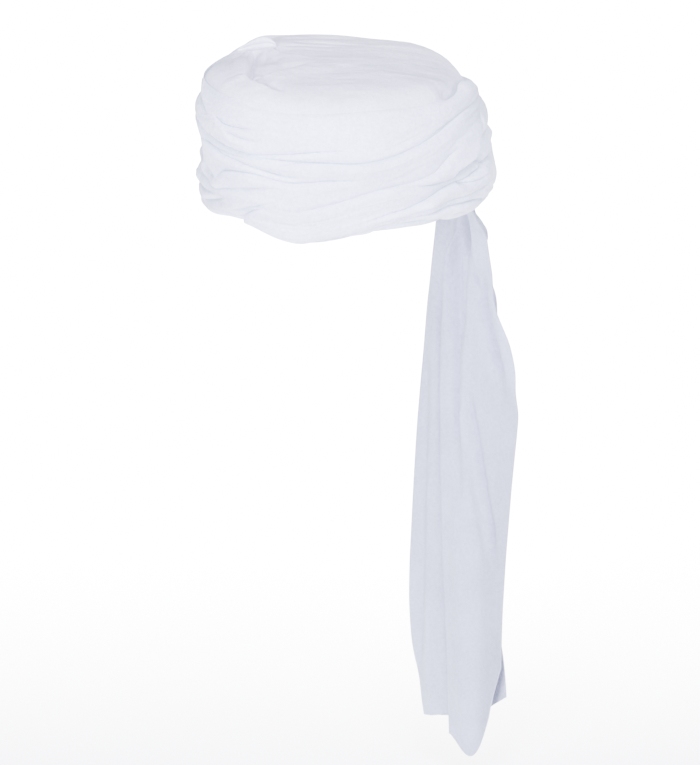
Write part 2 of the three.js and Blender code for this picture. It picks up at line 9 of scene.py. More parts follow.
import bpy
import numpy as np
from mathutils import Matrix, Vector


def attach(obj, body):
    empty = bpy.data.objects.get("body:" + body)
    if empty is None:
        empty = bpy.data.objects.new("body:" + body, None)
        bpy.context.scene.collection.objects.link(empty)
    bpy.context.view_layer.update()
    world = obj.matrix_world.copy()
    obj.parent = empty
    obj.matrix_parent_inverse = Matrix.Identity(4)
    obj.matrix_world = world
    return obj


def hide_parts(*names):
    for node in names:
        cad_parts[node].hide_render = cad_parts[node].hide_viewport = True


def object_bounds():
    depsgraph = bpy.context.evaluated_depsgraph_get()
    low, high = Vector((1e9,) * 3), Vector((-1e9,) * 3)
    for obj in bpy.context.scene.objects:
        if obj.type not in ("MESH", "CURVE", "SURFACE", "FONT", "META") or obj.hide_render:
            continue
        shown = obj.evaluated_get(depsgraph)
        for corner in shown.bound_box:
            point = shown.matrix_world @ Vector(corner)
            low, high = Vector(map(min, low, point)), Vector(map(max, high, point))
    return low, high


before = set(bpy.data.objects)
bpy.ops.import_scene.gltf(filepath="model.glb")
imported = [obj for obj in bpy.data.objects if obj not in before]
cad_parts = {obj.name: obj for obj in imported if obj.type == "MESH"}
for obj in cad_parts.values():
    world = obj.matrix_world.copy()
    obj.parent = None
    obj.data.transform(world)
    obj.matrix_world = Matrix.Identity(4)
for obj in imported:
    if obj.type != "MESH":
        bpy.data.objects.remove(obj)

CAD_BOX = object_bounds()

bl_info = {
    "name": "Wound Turban",
    "version": (1, 0, 0),
    "blender": (4, 5, 0),
    "location": "3D View > Sidebar > Turban",
    "description": "Builds a wound cloth turban with a hanging tail around its frame",
    "category": "Object",
}

MM = 0.001
BODY = "root"
SHARP_ANGLE = math.radians(58)
FULL_TURN = 360

# Heights of the rim and of each layer's upper edge round the head, as shares of the
# winding's height.
Edge = namedtuple("Edge", "heading rim roll lower middle upper crown")
EDGES = (
    Edge(-60, 0.115, 0.046, 0.308, 0.776, 0.992, 0.943),
    Edge(-30, 0.120, 0.046, 0.294, 0.720, 0.985, 0.985),
    Edge(0, 0.160, 0.073, 0.313, 0.626, 0.950, 0.950),
    Edge(30, 0.030, 0.040, 0.270, 0.605, 0.920, 0.920),
    Edge(60, 0.098, 0.150, 0.383, 0.580, 0.925, 0.930),
    Edge(90, 0.088, 0.198, 0.393, 0.695, 0.905, 0.932),
    Edge(105, 0.070, 0.180, 0.468, 0.780, 0.905, 0.900),
    Edge(120, 0.045, 0.140, 0.600, 0.800, 0.945, 0.868),
    Edge(150, 0.026, 0.128, 0.603, 0.745, 0.840, 0.868),
    Edge(180, 0.018, 0.121, 0.514, 0.690, 0.805, 0.932),
    Edge(210, 0.020, 0.121, 0.439, 0.740, 0.880, 0.940),
    Edge(240, 0.035, 0.112, 0.393, 0.748, 0.985, 0.985),
    Edge(270, 0.060, 0.083, 0.346, 0.757, 1.010, 1.020),
)

# Outline of the winding: height as a share of its height, thickness and sideways lean as
# shares of the largest ones.
OUTLINE = (
    (0.000, 0.545, 0.00),
    (0.084, 0.715, 0.00),
    (0.159, 0.805, 0.29),
    (0.318, 0.920, 0.20),
    (0.495, 0.845, 0.20),
    (0.617, 0.795, -0.09),
    (0.729, 0.740, -0.47),
    (0.822, 0.690, -0.48),
    (0.907, 0.525, -0.52),
    (1.000, 0.250, -0.66),
)

# Soft swells and hollows of the winding: heading and height of the middle, reach round the
# head in degrees and up the side as a share of the height, and how far it stands out.
Swell = namedtuple("Swell", "heading height round_reach up_reach out")
SWELLS = (
    Swell(-42, 0.64, 22, 0.09, -2.4 * MM),
    Swell(-42, 0.50, 22, 0.08, -1.6 * MM),
    Swell(-42, 0.405, 18, 0.045, -4.2 * MM),
    Swell(-42, 0.15, 18, 0.05, -2.2 * MM),
    Swell(-46, 0.02, 26, 0.09, -6.0 * MM),
    Swell(140, 0.85, 22, 0.07, -5.6 * MM),
    Swell(138, 0.68, 24, 0.10, -0.8 * MM),
    Swell(143, 0.55, 22, 0.07, -5.2 * MM),
    Swell(132, 0.385, 20, 0.045, -3.0 * MM),
    Swell(134, 0.09, 24, 0.08, -3.4 * MM),
)

# Seams round the head: heading, the side that laps over there, from -1 (the turn below) to 1
# (the turn above), and the depth as a share of the seam depth.
SEAMS = {
    "rim": (
        (-60, 1.0, 1.0), (60, 1.0, 0.9), (180, 1.0, 1.0),
    ),
    "roll": (
        (-60, 0.8, 0.5), (30, 0.9, 0.7), (50, 1.0, 1.0), (75, 1.0, 0.8),
        (110, 0.8, 0.7), (200, 1.0, 0.8),
    ),
    "lower": (
        (-60, 0.6, 0.7), (-24, 0.6, 0.4), (-4, 0.3, 0.06), (24, -0.2, 0.04),
        (44, -0.7, 0.3), (62, -0.7, 0.2), (72, 0.4, 0.1), (84, 1.0, 0.7),
        (94, 1.0, 1.2), (108, 1.0, 1.5), (120, 1.0, 0.8), (150, 0.9, 0.9),
        (220, 0.6, 0.8),
    ),
    "middle": (
        (-60, -0.5, 0.7), (-20, -0.7, 0.7), (15, -0.7, 0.75), (45, -0.5, 0.5),
        (56, -0.9, 0.8), (68, -0.9, 0.8), (90, -0.9, 0.7), (104, -0.5, 0.45),
        (125, -0.3, 0.2), (148, -0.3, 0.35), (190, -0.8, 0.9), (250, 0.4, 0.8),
    ),
    "upper": (
        (-60, -0.1, 0.05), (30, -0.2, 0.08), (75, -0.3, 0.14), (96, -0.6, 0.25),
        (112, -1.0, 0.7), (135, -1.0, 0.6), (180, -0.9, 0.4), (250, -0.4, 0.2),
    ),
}

# A fold on the winding: the headings and heights that its line runs through, the side that
# laps over (1 above, -1 below), its lip, groove and breadth as shares of the named sizes, and
# the shares of its run over which it fades in and out.
Fold = namedtuple("Fold", "line over lip groove breadth fades")
FOLDS = (
    # In front, on the wearer's right
    Fold(((-13, 0.845), (-4, 0.805), (3, 0.801), (10, 0.812), (20, 0.835)), -1, 0.45, 0.75, 0.55,
         (0.1, 0.6)),
    Fold(((-6, 0.795), (-1, 0.757), (5, 0.733), (11, 0.731), (18, 0.745)), -1, 0.5, 0.6, 0.9,
         (0.3, 0.5)),
    Fold(((-34, 0.70), (-18, 0.632), (-8, 0.612), (2, 0.600), (12, 0.606), (22, 0.615)), -1, 0.4,
         0.5, 0.6, (0.3, 0.4)),
    Fold(((-8, 0.628), (1, 0.623), (8, 0.626), (15, 0.637), (23, 0.648), (33, 0.664), (42, 0.678),
         (56, 0.682)), -1, 0.6, 0.8, 0.5, (0.2, 0.35)),
    Fold(((16, 0.574), (24, 0.580), (34, 0.584), (50, 0.576), (58, 0.572)), -1, 0.45, 0.8, 0.5,
         (0.25, 0.3)),
    Fold(((-30, 0.655), (-20, 0.625), (-10, 0.593), (1, 0.571), (10, 0.544), (18, 0.514),
         (26, 0.500), (33, 0.500)), -1, 0.75, 1.0, 0.7, (0.15, 0.3)),
    Fold(((-14, 0.425), (-8, 0.472), (0, 0.493), (9, 0.496), (18, 0.473), (26, 0.458), (34, 0.464),
         (46, 0.474), (54, 0.475)), -1, 0.7, 0.95, 0.65, (0.1, 0.3)),
    Fold(((-36, 0.385), (-22, 0.369), (-13, 0.351), (-7, 0.370), (5, 0.408), (16, 0.424),
         (28, 0.434)), 1, 0.9, 0.9, 0.8, (0.1, 0.45)),
    Fold(((-29, 0.48), (-23, 0.462), (-18, 0.446), (-13, 0.420)), 1, 0.8, 1.5, 1.1, (0.3, 0.4)),
    Fold(((-30, 0.205), (-22, 0.235), (-14, 0.272), (-4, 0.302)), 1, 0.7, 0.8, 0.8, (0.2, 0.4)),
    Fold(((-6, 0.222), (2, 0.252), (10, 0.290), (22, 0.338)), 1, 0.45, 0.5, 0.8, (0.3, 0.5)),
    Fold(((-1, 0.178), (3, 0.190), (8, 0.236), (15, 0.288)), -1, 0.7, 0.9, 0.8, (0.15, 0.5)),
    Fold(((-12, 0.205), (-6, 0.202), (-1, 0.192), (4, 0.174)), 1, 0.5, 1.1, 0.8, (0.3, 0.2)),
    Fold(((26, 0.255), (37, 0.290), (48, 0.333), (60, 0.362)), -1, 0.35, 0.35, 1.3, (0.4, 0.5)),
    Fold(((-60, 0.90), (-42, 0.94), (-30, 0.905), (-23, 0.869), (-17, 0.840)), 1, 0.7, 1.0, 0.9,
         (0.3, 0.25)),
    # On the wearer's left
    Fold(((44, 0.350), (52, 0.366), (60, 0.385), (68, 0.404), (77, 0.420), (83, 0.445), (88, 0.492),
         (94, 0.548), (104, 0.60)), -1, 0.65, 0.6, 0.9, (0.3, 0.25)),
    Fold(((88, 0.545), (95, 0.600), (104, 0.640), (120, 0.690), (140, 0.72)), -1, 0.4, 0.3, 1.4,
         (0.3, 0.3)),
    Fold(((84, 0.690), (90, 0.728), (97, 0.762), (106, 0.776)), 1, 0.5, 0.6, 0.7, (0.5, 0.4)),
    Fold(((52, 0.186), (60, 0.208), (68, 0.230), (73, 0.252), (82, 0.290), (87, 0.312), (94, 0.330),
         (102, 0.340), (114, 0.375), (130, 0.43)), -1, 0.8, 1.2, 0.65, (0.2, 0.2)),
    Fold(((52, 0.160), (60, 0.180), (70, 0.202), (77, 0.226), (86, 0.240), (95, 0.241),
         (106, 0.238), (120, 0.25)), 1, 0.65, 1.2, 0.6, (0.2, 0.25)),
    Fold(((92, 0.425), (98, 0.452), (104, 0.475), (109, 0.510), (113, 0.555)), 1, 0.3, 1.6, 0.55,
         (0.3, 0.25)),
    Fold(((94, 0.338), (99, 0.326), (104, 0.320), (110, 0.322), (116, 0.335)), 1, 0.6, 1.2, 0.6,
         (0.3, 0.4)),
    Fold(((112, 0.570), (117, 0.622), (123, 0.680), (129, 0.750), (133, 0.81)), -1, 0.6, 0.2, 1.0,
         (0.5, 0.4)),
    Fold(((64, 0.122), (76, 0.140), (92, 0.134), (108, 0.110), (126, 0.10)), 1, 0.7, 1.2, 0.6,
         (0.3, 0.3)),
    Fold(((46, 0.070), (54, 0.094), (62, 0.125), (70, 0.146), (82, 0.140), (98, 0.088),
         (112, 0.066), (130, 0.05)), 1, 0.8, 1.5, 0.7, (0.2, 0.3)),
    Fold(((104, 0.45), (113, 0.40), (119, 0.318), (123, 0.209), (128, 0.12)), -1, 0.8, 0.6, 1.1,
         (0.4, 0.3)),
    Fold(((84, 0.365), (95, 0.335), (108, 0.36), (120, 0.43), (136, 0.50)), 1, 0.4, 0.4, 1.0,
         (0.3, 0.3)),
    # Round the back and up the wearer's right
    Fold(((116, 0.44), (135, 0.47), (160, 0.42), (190, 0.33), (216, 0.24)), 1, 0.8, 0.9, 0.9,
         (0.25, 0.25)),
    Fold(((130, 0.30), (152, 0.35), (176, 0.30), (204, 0.20), (228, 0.15)), 1, 0.7, 0.8, 0.8,
         (0.3, 0.3)),
    Fold(((160, 0.685), (167, 0.68), (175, 0.67), (205, 0.63), (236, 0.57), (262, 0.54)), -1, 0.8,
         0.9, 0.8, (0.2, 0.3)),
    Fold(((160, 0.60), (186, 0.57), (215, 0.52), (246, 0.45), (276, 0.43)), 1, 0.7, 0.8, 0.9,
         (0.3, 0.3)),
    Fold(((196, 0.70), (224, 0.66), (252, 0.63), (280, 0.64), (306, 0.66)), 1, 0.8, 0.9, 0.7,
         (0.2, 0.2)),
    Fold(((150, 0.81), (178, 0.83), (206, 0.86), (236, 0.87), (262, 0.85)), -1, 0.6, 0.7, 0.8,
         (0.3, 0.3)),
    Fold(((236, 0.93), (262, 0.90), (290, 0.88), (314, 0.86), (330, 0.845)), -1, 0.6, 0.7, 0.9,
         (0.3, 0.3)),
    Fold(((218, 0.31), (244, 0.28), (270, 0.25), (296, 0.25), (322, 0.24)), 1, 0.7, 0.9, 0.8,
         (0.25, 0.25)),
    Fold(((254, 0.47), (276, 0.50), (298, 0.52), (320, 0.49), (338, 0.46)), -1, 0.8, 0.9, 0.8,
         (0.25, 0.3)),
    Fold(((230, 0.20), (256, 0.16), (284, 0.15), (310, 0.17), (328, 0.20)), 1, 0.6, 0.8, 0.7,
         (0.3, 0.3)),
)

# Creases on the crown, through places given as shares of its half width and half depth from
# its middle. The side on the left of the line laps over.
Crease = namedtuple("Crease", "line lip groove breadth fades")
CROWN_CREASES = (
    Crease(((-0.03, -0.79), (-0.11, -0.755), (-0.22, -0.65), (-0.40, -0.49), (-0.52, -0.375),
           (-0.60, -0.30), (-0.67, -0.235)), 0.65, 1.6, 0.75, (0.3, 0.08)),
    Crease(((0.36, -0.785), (0.24, -0.80), (0.14, -0.80), (0.03, -0.79), (-0.05, -0.785),
           (-0.12, -0.75)), 0.5, 1.7, 0.65, (0.4, 0.12)),
    Crease(((0.14, -0.735), (0.05, -0.72), (-0.03, -0.69), (-0.12, -0.62), (-0.28, -0.48),
           (-0.44, -0.34), (-0.55, -0.25)), 0.0, 0.6, 1.7, (0.3, 0.15)),
    Crease(((0.05, -0.64), (0.15, -0.52), (0.22, -0.37), (0.27, -0.19), (0.29, 0.01), (0.28, 0.23)),
           0.0, 0.4, 4.0, (0.3, 0.4)),
    Crease(((-0.56, -0.21), (-0.48, -0.27), (-0.40, -0.36), (-0.34, -0.44)), 0.12, 0.4, 0.7,
           (0.3, 0.5)),
    Crease(((-0.66, -0.25), (-0.60, -0.35), (-0.50, -0.46), (-0.42, -0.55)), 0.12, 0.4, 0.6,
           (0.3, 0.5)),
    Crease(((-0.14, -0.03), (-0.20, -0.11), (-0.27, -0.155), (-0.35, -0.16), (-0.44, -0.145),
           (-0.52, -0.12), (-0.62, -0.085)), 1.0, 1.9, 0.8, (0.45, 0.2)),
    Crease(((-0.01, -0.22), (-0.02, -0.38), (-0.03, -0.50), (-0.07, -0.59), (-0.14, -0.67)), 0.6,
           0.7, 0.9, (0.5, 0.2)),
    Crease(((-0.58, -0.06), (-0.50, 0.07), (-0.40, 0.17), (-0.28, 0.28), (-0.12, 0.40)), 0.08, 0.22,
           0.7, (0.2, 0.5)),
    Crease(((-0.62, 0.02), (-0.50, 0.22), (-0.38, 0.34), (-0.27, 0.43), (-0.12, 0.53)), 0.1, 0.28,
           0.8, (0.3, 0.4)),
    Crease(((-0.52, -0.10), (-0.40, 0.02), (-0.24, 0.14), (-0.02, 0.24)), 0.06, 0.16, 1.0,
           (0.3, 0.5)),
    Crease(((-0.72, 0.02), (-0.66, 0.28), (-0.52, 0.52), (-0.30, 0.70)), 0.1, 0.22, 1.1,
           (0.3, 0.4)),
    Crease(((-0.80, -0.12), (-0.84, 0.06), (-0.82, 0.26)), 0.4, 0.4, 0.8, (0.2, 0.5)),
    Crease(((-0.74, -0.22), (-0.66, -0.42), (-0.50, -0.62), (-0.30, -0.78)), 0.3, 0.35, 0.9,
           (0.2, 0.5)),
    Crease(((-0.42, -0.26), (-0.28, -0.34), (-0.14, -0.42), (0.04, -0.46)), 0.3, 0.3, 1.3,
           (0.3, 0.6)),
)

# How far the top edge dips behind its outer line round the head, as a share of the top dip.
TOP_DIP = (
    (-60, 0.0), (80, 0.0), (97, 0.15), (106, 1.0),
    (118, 1.0), (140, 0.5), (180, 0.2), (220, 0.0),
)

# How far the crown's cloth flows into the upper turn round the head: 1 in one sweep, 0 where
# the turn stands off from the crown.
CROWN_JOIN = (
    (-90, 0.95), (-50, 1.0), (-20, 1.0), (40, 1.0),
    (84, 1.0), (96, 0.7), (105, 0.0), (150, 0.0),
    (190, 0.1), (230, 0.75),
)

# The tail's folds down its length. The drop is a share of its length; the others are places
# across the wearer's back, as shares of its spread.
Section = namedtuple("Section", "drop free front turn left back")
TAIL_SECTIONS = (
    Section(0.00, 0.60, 0.30, 0.50, 0.01, 0.34),
    Section(0.06, 0.61, 0.28, 0.50, -0.02, 0.34),
    Section(0.13, 0.665, 0.19, 0.50, -0.06, 0.40),
    Section(0.19, 0.755, 0.155, 0.54, -0.095, 0.48),
    Section(0.245, 0.885, 0.13, 0.58, -0.13, 0.60),
    Section(0.30, 0.965, 0.12, 0.62, -0.165, 0.68),
    Section(0.37, 0.975, 0.115, 0.64, -0.20, 0.69),
    Section(0.525, 0.90, 0.14, 0.60, -0.26, 0.635),
    Section(0.71, 0.83, 0.18, 0.54, -0.31, 0.58),
    Section(0.83, 0.81, 0.215, 0.51, -0.28, 0.71),
    Section(1.00, 0.79, 0.25, 0.50, -0.07, 0.80),
)

# Lower end of the cloth along its width, from the free edge to the back edge: place is
# counted in panels, drop is a share of the tail's length.
TAIL_HEM = (
    (0.0, 0.830), (0.48, 0.995), (1.0, 0.972), (2.0, 0.895),
    (2.45, 0.935), (3.0, 0.957), (3.6, 0.935), (4.0, 0.892),
)

# Hollows and ridges down the hanging tail: top and foot as shares of its length, places
# across and width as shares of its spread, depth as a share of the hollow depth, and the
# first panel that it is in.
Hollow = namedtuple("Hollow", "top foot start end depth width panel")
TAIL_HOLLOWS = (
    Hollow(0.02, 0.50, 0.275, 0.285, 1.3, 0.040, 0),
    Hollow(0.10, 0.33, 0.42, 0.80, 1.9, 0.085, 0),
    Hollow(0.13, 0.38, 0.62, 1.02, -1.0, 0.09, 0),
    Hollow(0.30, 0.66, 0.36, 0.78, 0.9, 0.035, 0),
    Hollow(0.30, 0.68, 0.30, 0.70, -0.6, 0.06, 0),
    Hollow(0.50, 1.04, 0.50, 0.62, 0.5, 0.10, 0),
    Hollow(0.05, 0.60, 0.37, 0.42, -0.7, 0.040, 0),
    Hollow(0.45, 1.02, 0.32, 0.38, -0.7, 0.10, 0),
    Hollow(0.02, 0.30, 0.20, 0.17, -0.9, 0.035, 0),
    Hollow(0.00, 0.12, 0.370, 0.36, 1.8, 0.055, 0),
    Hollow(0.00, 0.30, 0.365, 0.35, 1.4, 0.045, 0),
    Hollow(0.01, 0.20, 0.50, 0.52, -1.0, 0.035, 0),
    Hollow(0.10, 1.06, 0.13, 0.24, 2.6, 0.075, 1),
    Hollow(0.08, 1.02, -0.02, -0.10, -0.8, 0.09, 1),
    Hollow(0.20, 1.02, -0.10, -0.24, 0.9, 0.06, 1),
)


# Form of a fold across its line, as shares of its sizes: the valley's breadth on the side that
# laps over, and how far the cloth slips along the surface there.
OVER_VALLEY = 0.35
LIP_SLIP = 0.55
GROOVE_SLIP = 0.25
SLIP_PLACE = 0.8
SLIP_BREADTH = 1.6
NOISE_CELLS = 64


def clamp(value):
    """The value held between 0 and 1."""
    return np.clip(value, 0.0, 1.0)


def smooth(value):
    """A soft step from 0 to 1."""
    held = clamp(value)
    return held * held * (3 - 2 * held)


def blend(a, b, t):
    """From a to b by the share t."""
    return a + (b - a) * t


def off_heading(heading, middle):
    """How far a heading lies from another, the shorter way round."""
    return (heading - middle + FULL_TURN / 2) % FULL_TURN - FULL_TURN / 2


def through_rows(rows, column, x, period=0.0):
    """A smooth curve through one column of a table, read where its first column is x."""
    xs = np.array([row[0] for row in rows], float)
    ys = np.array([row[column] for row in rows], float)
    x = np.asarray(x, float)
    if period:
        at = xs[0] + (x - xs[0]) % period
        xs = np.concatenate([[xs[-1] - period], xs, xs[:2] + period])
        ys = np.concatenate([[ys[-1]], ys, ys[:2]])
    else:
        at = np.clip(x, xs[0], xs[-1])
        xs = np.concatenate([[xs[0]], xs, [xs[-1]]])
        ys = np.concatenate([[ys[0]], ys, [ys[-1]]])
    i = np.clip(np.searchsorted(xs, at, side="right") - 1, 1, len(xs) - 3)
    span = xs[i + 1] - xs[i]
    slope_in = (ys[i + 1] - ys[i - 1]) / (xs[i + 1] - xs[i - 1])
    slope_out = (ys[i + 2] - ys[i]) / (xs[i + 2] - xs[i])
    t = (at - xs[i]) / span
    a = 2 * (ys[i] - ys[i + 1]) + span * (slope_in + slope_out)
    b = 3 * (ys[i + 1] - ys[i]) - span * (2 * slope_in + slope_out)
    return ((a * t + b) * t + span * slope_in) * t + ys[i]


def soft_noise(u, v, seed, columns=NOISE_CELLS):
    """Smooth noise from -1 to 1 over unit cells; it repeats after so many columns."""
    table = np.random.default_rng(seed).uniform(-1, 1, (NOISE_CELLS, columns))
    u, v = np.broadcast_arrays(np.asarray(u, float), np.asarray(v, float))
    iu, iv = np.floor(u).astype(int), np.floor(v).astype(int)
    fu, fv = smooth(u - iu), smooth(v - iv)
    a, b = iu % columns, (iu + 1) % columns
    c, d = iv % NOISE_CELLS, (iv + 1) % NOISE_CELLS
    low = blend(table[c, a], table[c, b], fu)
    high = blend(table[d, a], table[d, b], fu)
    return blend(low, high, fv)


def crease_profile(across, lip, groove, breadth, sizes):
    """Relief outwards and slip along the surface at a signed distance from a fold's line.

    Positive distances are on the side that laps over the other.
    """
    reach = sizes.lip_reach * breadth
    over = np.maximum(across, 0) / reach
    swell = lip * over * np.exp(1 - over)
    narrow = sizes.groove_width * breadth
    width = np.where(across > 0, narrow, sizes.under_widening * narrow)
    cut = groove * np.exp(-(across / width) ** 2)
    wide = narrow * np.where(across > 0, OVER_VALLEY, 1.0) * sizes.valley_widening
    valley = sizes.valley_share * groove * np.exp(-(across / wide) ** 2)
    off = (across - SLIP_PLACE * narrow) / (SLIP_BREADTH * narrow)
    slip = -(LIP_SLIP * lip + GROOVE_SLIP * groove) * np.exp(-off ** 2)
    return swell - cut - valley, slip


def length_prop(name, description, default):
    """A length that a user can change, in metres."""
    return bpy.props.FloatProperty(name=name, description=description, default=default, unit="LENGTH")


def number_prop(name, description, default):
    """A share or a factor that a user can change."""
    return bpy.props.FloatProperty(name=name, description=description, default=default)


def angle_prop(name, description, degrees):
    """An angle that a user can change."""
    return bpy.props.FloatProperty(
        name=name, description=description, default=math.radians(degrees), subtype="ANGLE")


def power_prop(name, description, default):
    """A lamp's power that a user can change, in watts."""
    return bpy.props.FloatProperty(name=name, description=description, default=default, unit="POWER")


def colour_prop(name, description, default):
    """A colour that a user can change."""
    return bpy.props.FloatVectorProperty(
        name=name, description=description, default=default, subtype="COLOR", size=3)


class WindingSizes(bpy.types.PropertyGroup):
    """Sizes of the cap and of the cloth wound round it."""

    head_width: length_prop("Head width", "Width of the head opening", 160 * MM)
    head_depth: length_prop("Head depth", "Depth of the head opening, brow to nape", 204 * MM)
    cap_wall: length_prop("Cap wall", "Thickness of the cap's cloth", 3 * MM)
    height: length_prop("Height", "Height of the winding", 107 * MM)
    thickness: length_prop("Thickness", "Greatest thickness of the winding", 20 * MM)
    lean: length_prop("Lean", "How far the winding leans to one side", 8.7 * MM)
    lean_heading: angle_prop("Lean heading", "Direction of the lean", 42)
    layer_slant: length_prop("Layer slant", "How far a turn's edge climbs inwards", 8 * MM)
    roll_slant: length_prop("Roll slant", "How far the rim roll's edge climbs inwards", 10 * MM)
    rim_slant: length_prop("Rim slant", "How far the rim climbs inwards", 1.5 * MM)
    top_dip: length_prop("Top dip", "Depth of the slot between the top edge and the crown", 15 * MM)
    top_slant: length_prop("Top slant", "How far the top edge climbs inwards", 4 * MM)
    roll_shown: length_prop("Roll shown", "Height at which the rim roll shows in full", 5 * MM)
    layer_gap: length_prop("Layer gap", "Gap between turns that meet", 0.7 * MM)
    shown_gap: length_prop("Shown gap", "Gap between the cloth of turns that meet", 0.08 * MM)
    cloth_gap: length_prop("Cloth gap", "Gap between the cap and the winding", 0.45 * MM)
    lip: length_prop("Fold lip", "How far a fold's lip stands out", 2.1 * MM)
    groove: length_prop("Fold groove", "Depth of a fold's groove", 2.6 * MM)
    seam_lip: length_prop("Seam lip", "How far a turn's lapping edge stands out", 2.3 * MM)
    seam_groove: length_prop("Seam groove", "Depth of the groove between turns", 3.3 * MM)
    lip_reach: length_prop("Lip reach", "Distance from a fold's line to the top of its lip", 4.2 * MM)
    groove_width: length_prop("Groove width", "Width of a fold's groove", 0.95 * MM)
    under_widening: number_prop("Under widening", "How much wider a groove is on its under side", 2.4)
    valley_share: number_prop(
        "Valley share", "Depth of the wide valley at a fold, as a share of its groove", 0.75)
    valley_widening: number_prop("Valley widening", "How much wider the valley is than the groove", 7.5)
    waver: length_prop("Waver", "How far a fold's line wanders", 0.8 * MM)
    wrinkle: length_prop("Wrinkles", "Height of the long soft wrinkles", 1.1 * MM)
    cloth: colour_prop("Cloth", "Colour of the wound cloth", (0.80, 0.81, 0.92))


class CrownSizes(bpy.types.PropertyGroup):
    """Sizes of the crown over the head."""

    rise: length_prop("Rise", "Rise of the crown over its edge", 11.6 * MM)
    swell: length_prop("Swell", "How far the crown swells over the opening", 2.5 * MM)
    swell_reach: length_prop("Swell reach", "Height over which the crown swells", 14 * MM)
    foot: length_prop("Foot", "Height of the crown's edge over the winding", 1.5 * MM)
    tilt: number_prop("Tilt", "Slope of the crown to one side", 0.036)
    cap_foot: length_prop("Cap foot", "Height of the cap's foot over the rim", 3 * MM)
    lip: length_prop("Crease lip", "Height of a crease's lip", 3.4 * MM)
    groove: length_prop("Crease groove", "Depth of a crease's groove", 2.6 * MM)
    wrinkle: length_prop("Wrinkles", "Height of the crown's soft wrinkles", 0.9 * MM)
    knot_length: length_prop("Knot length", "Length of the pinched knot", 30 * MM)
    knot_width: length_prop("Knot width", "Width of the pinched knot", 9 * MM)
    knot_height: length_prop("Knot height", "Height of the pinched knot", 9.0 * MM)
    knot_folds: bpy.props.IntProperty(
        name="Knot folds", description="Number of pleats along the knot", default=3)
    # The crown's colour is the winding's cloth made a little darker and less blue: painted shade for the
    # top of the turban, which takes less light than its sides.
    cloth: colour_prop("Cloth", "Colour of the crown's cloth", (0.79, 0.78, 0.86))


class TailSizes(bpy.types.PropertyGroup):
    """Sizes of the hanging tail."""

    drop: length_prop("Drop", "Length of the tail below the rim", 457 * MM)
    tuck: length_prop("Tuck", "Height to which the tail is tucked up", 40 * MM)
    spread: length_prop("Spread", "Width that the shares across are counted in", 85 * MM)
    cloth_thickness: length_prop("Cloth thickness", "Thickness of the tail's cloth", 1.1 * MM)
    tuck_cloth: length_prop("Tucked cloth", "Room for one tucked layer of cloth", 1.2 * MM)
    hang_step: length_prop("Hanging step", "Distance between the hanging panels", 4.6 * MM)
    set_back: length_prop("Set back", "Distance of the tail behind the opening", 6 * MM)
    twist: number_prop("Twist", "Slope of the panels across the back", 0.08)
    flare_drop: length_prop("Flare drop", "Drop over which the tail leaves the round of the nape", 38 * MM)
    hollow_depth: length_prop("Hollow depth", "Depth of the tail's hollows", 4.8 * MM)
    wrinkle: length_prop("Wrinkles", "Height of the tail's soft wrinkles", 0.7 * MM)
    # The tail's colour is the white cloth at about half its brightness: painted shade for the tail hanging
    # in the turban's shade.
    cloth: colour_prop("Cloth", "Colour of the tail's cloth", (0.40, 0.413, 0.51))


class StageSizes(bpy.types.PropertyGroup):
    """Camera and light."""

    azimuth: angle_prop("Azimuth", "Camera's heading", 42)
    elevation: angle_prop("Elevation", "Camera's height over the horizon", 17)
    distance: length_prop("Distance", "Camera's distance", 4.0)
    pixel: length_prop("Pixel", "Real size of one picture element at the turban", 0.753 * MM)
    key_power: power_prop("Key light", "Power of the key light", 195.0)
    top_power: power_prop("Top power", "Power of the light from above", 130.0)
    fill_power: power_prop("Fill light", "Power of the fill light", 75.0)
    floor_power: power_prop("Floor light", "Power of the light on the floor behind", 8500.0)
    sky: number_prop("Sky", "Strength of the light all round", 0.36)


# The picture: its size, and where the middle of the head opening falls in it.
PICTURE = (700, 765)
ORIGIN_IN_PICTURE = (345, 210)
SENSOR = 36.0
CLIP_END = 50.0

# Pocket at the nape that the tail is tucked into.
TUCK_CLEARANCE_SHARE = 1.8
TAIL_PANELS = 4
POCKET_COVER = 6 * MM
POCKET_MARGIN = 4
POCKET_RAMP = 14
POCKET_HEADROOM = 12 * MM
POCKET_FADE = 20 * MM
TOP_CLOTH = 1 * MM
ROLL_HIDDEN_SHARE = 0.55

# How fast a seam's groove passes from one of its sides to the other.
SEAM_TURN = 1.2

# Soft noise along a fold: degrees to a wave and seed, for its wandering and for its breadth.
WANDER_WAVE = 8
WANDER_SEED = 6
BREADTH_WAVE = 11
BREADTH_SEED = 7
BREADTH_SHARE = 0.3

# Soft noise round the winding: degrees to a wave, waves up a turn or a rise, seed, share, and
# whether it makes sharp pleats.
Ripple = namedtuple("Ripple", "degrees waves seed share sharp", defaults=(False,))
UNEVEN = Ripple(9, 1, 5, 0.35)
UNEVEN_RISE = 25 * MM
DRIFT = Ripple(30, 1.5, 3, 0.35)
WRINKLES = (
    Ripple(24, 5, 11, 0.5),
    Ripple(12, 11, 12, 0.3),
    Ripple(18, 8, 14, 0.4, sharp=True),
    Ripple(4, 30, 13, 0.1),
)

# Form of the crown's dome: how full it is, how its foot rounds off and how its tilt fades.
DOME_FULL = 2.8
DOME_SHOULDER = 2.2
TILT_FADE = 6

# Fineness of the winding's meshes.
STATIONS = 800
FACE_ROWS = {"rim_roll": 30, "lower_wrap": 84, "middle_wrap": 92, "upper_wrap": 76}
EDGE_STEPS = 4
BACK_STEPS = 5


def ripple(row, heading, level):
    """Soft noise that closes on itself round the head."""
    return soft_noise(heading / row.degrees, level * row.waves, row.seed, FULL_TURN // row.degrees)


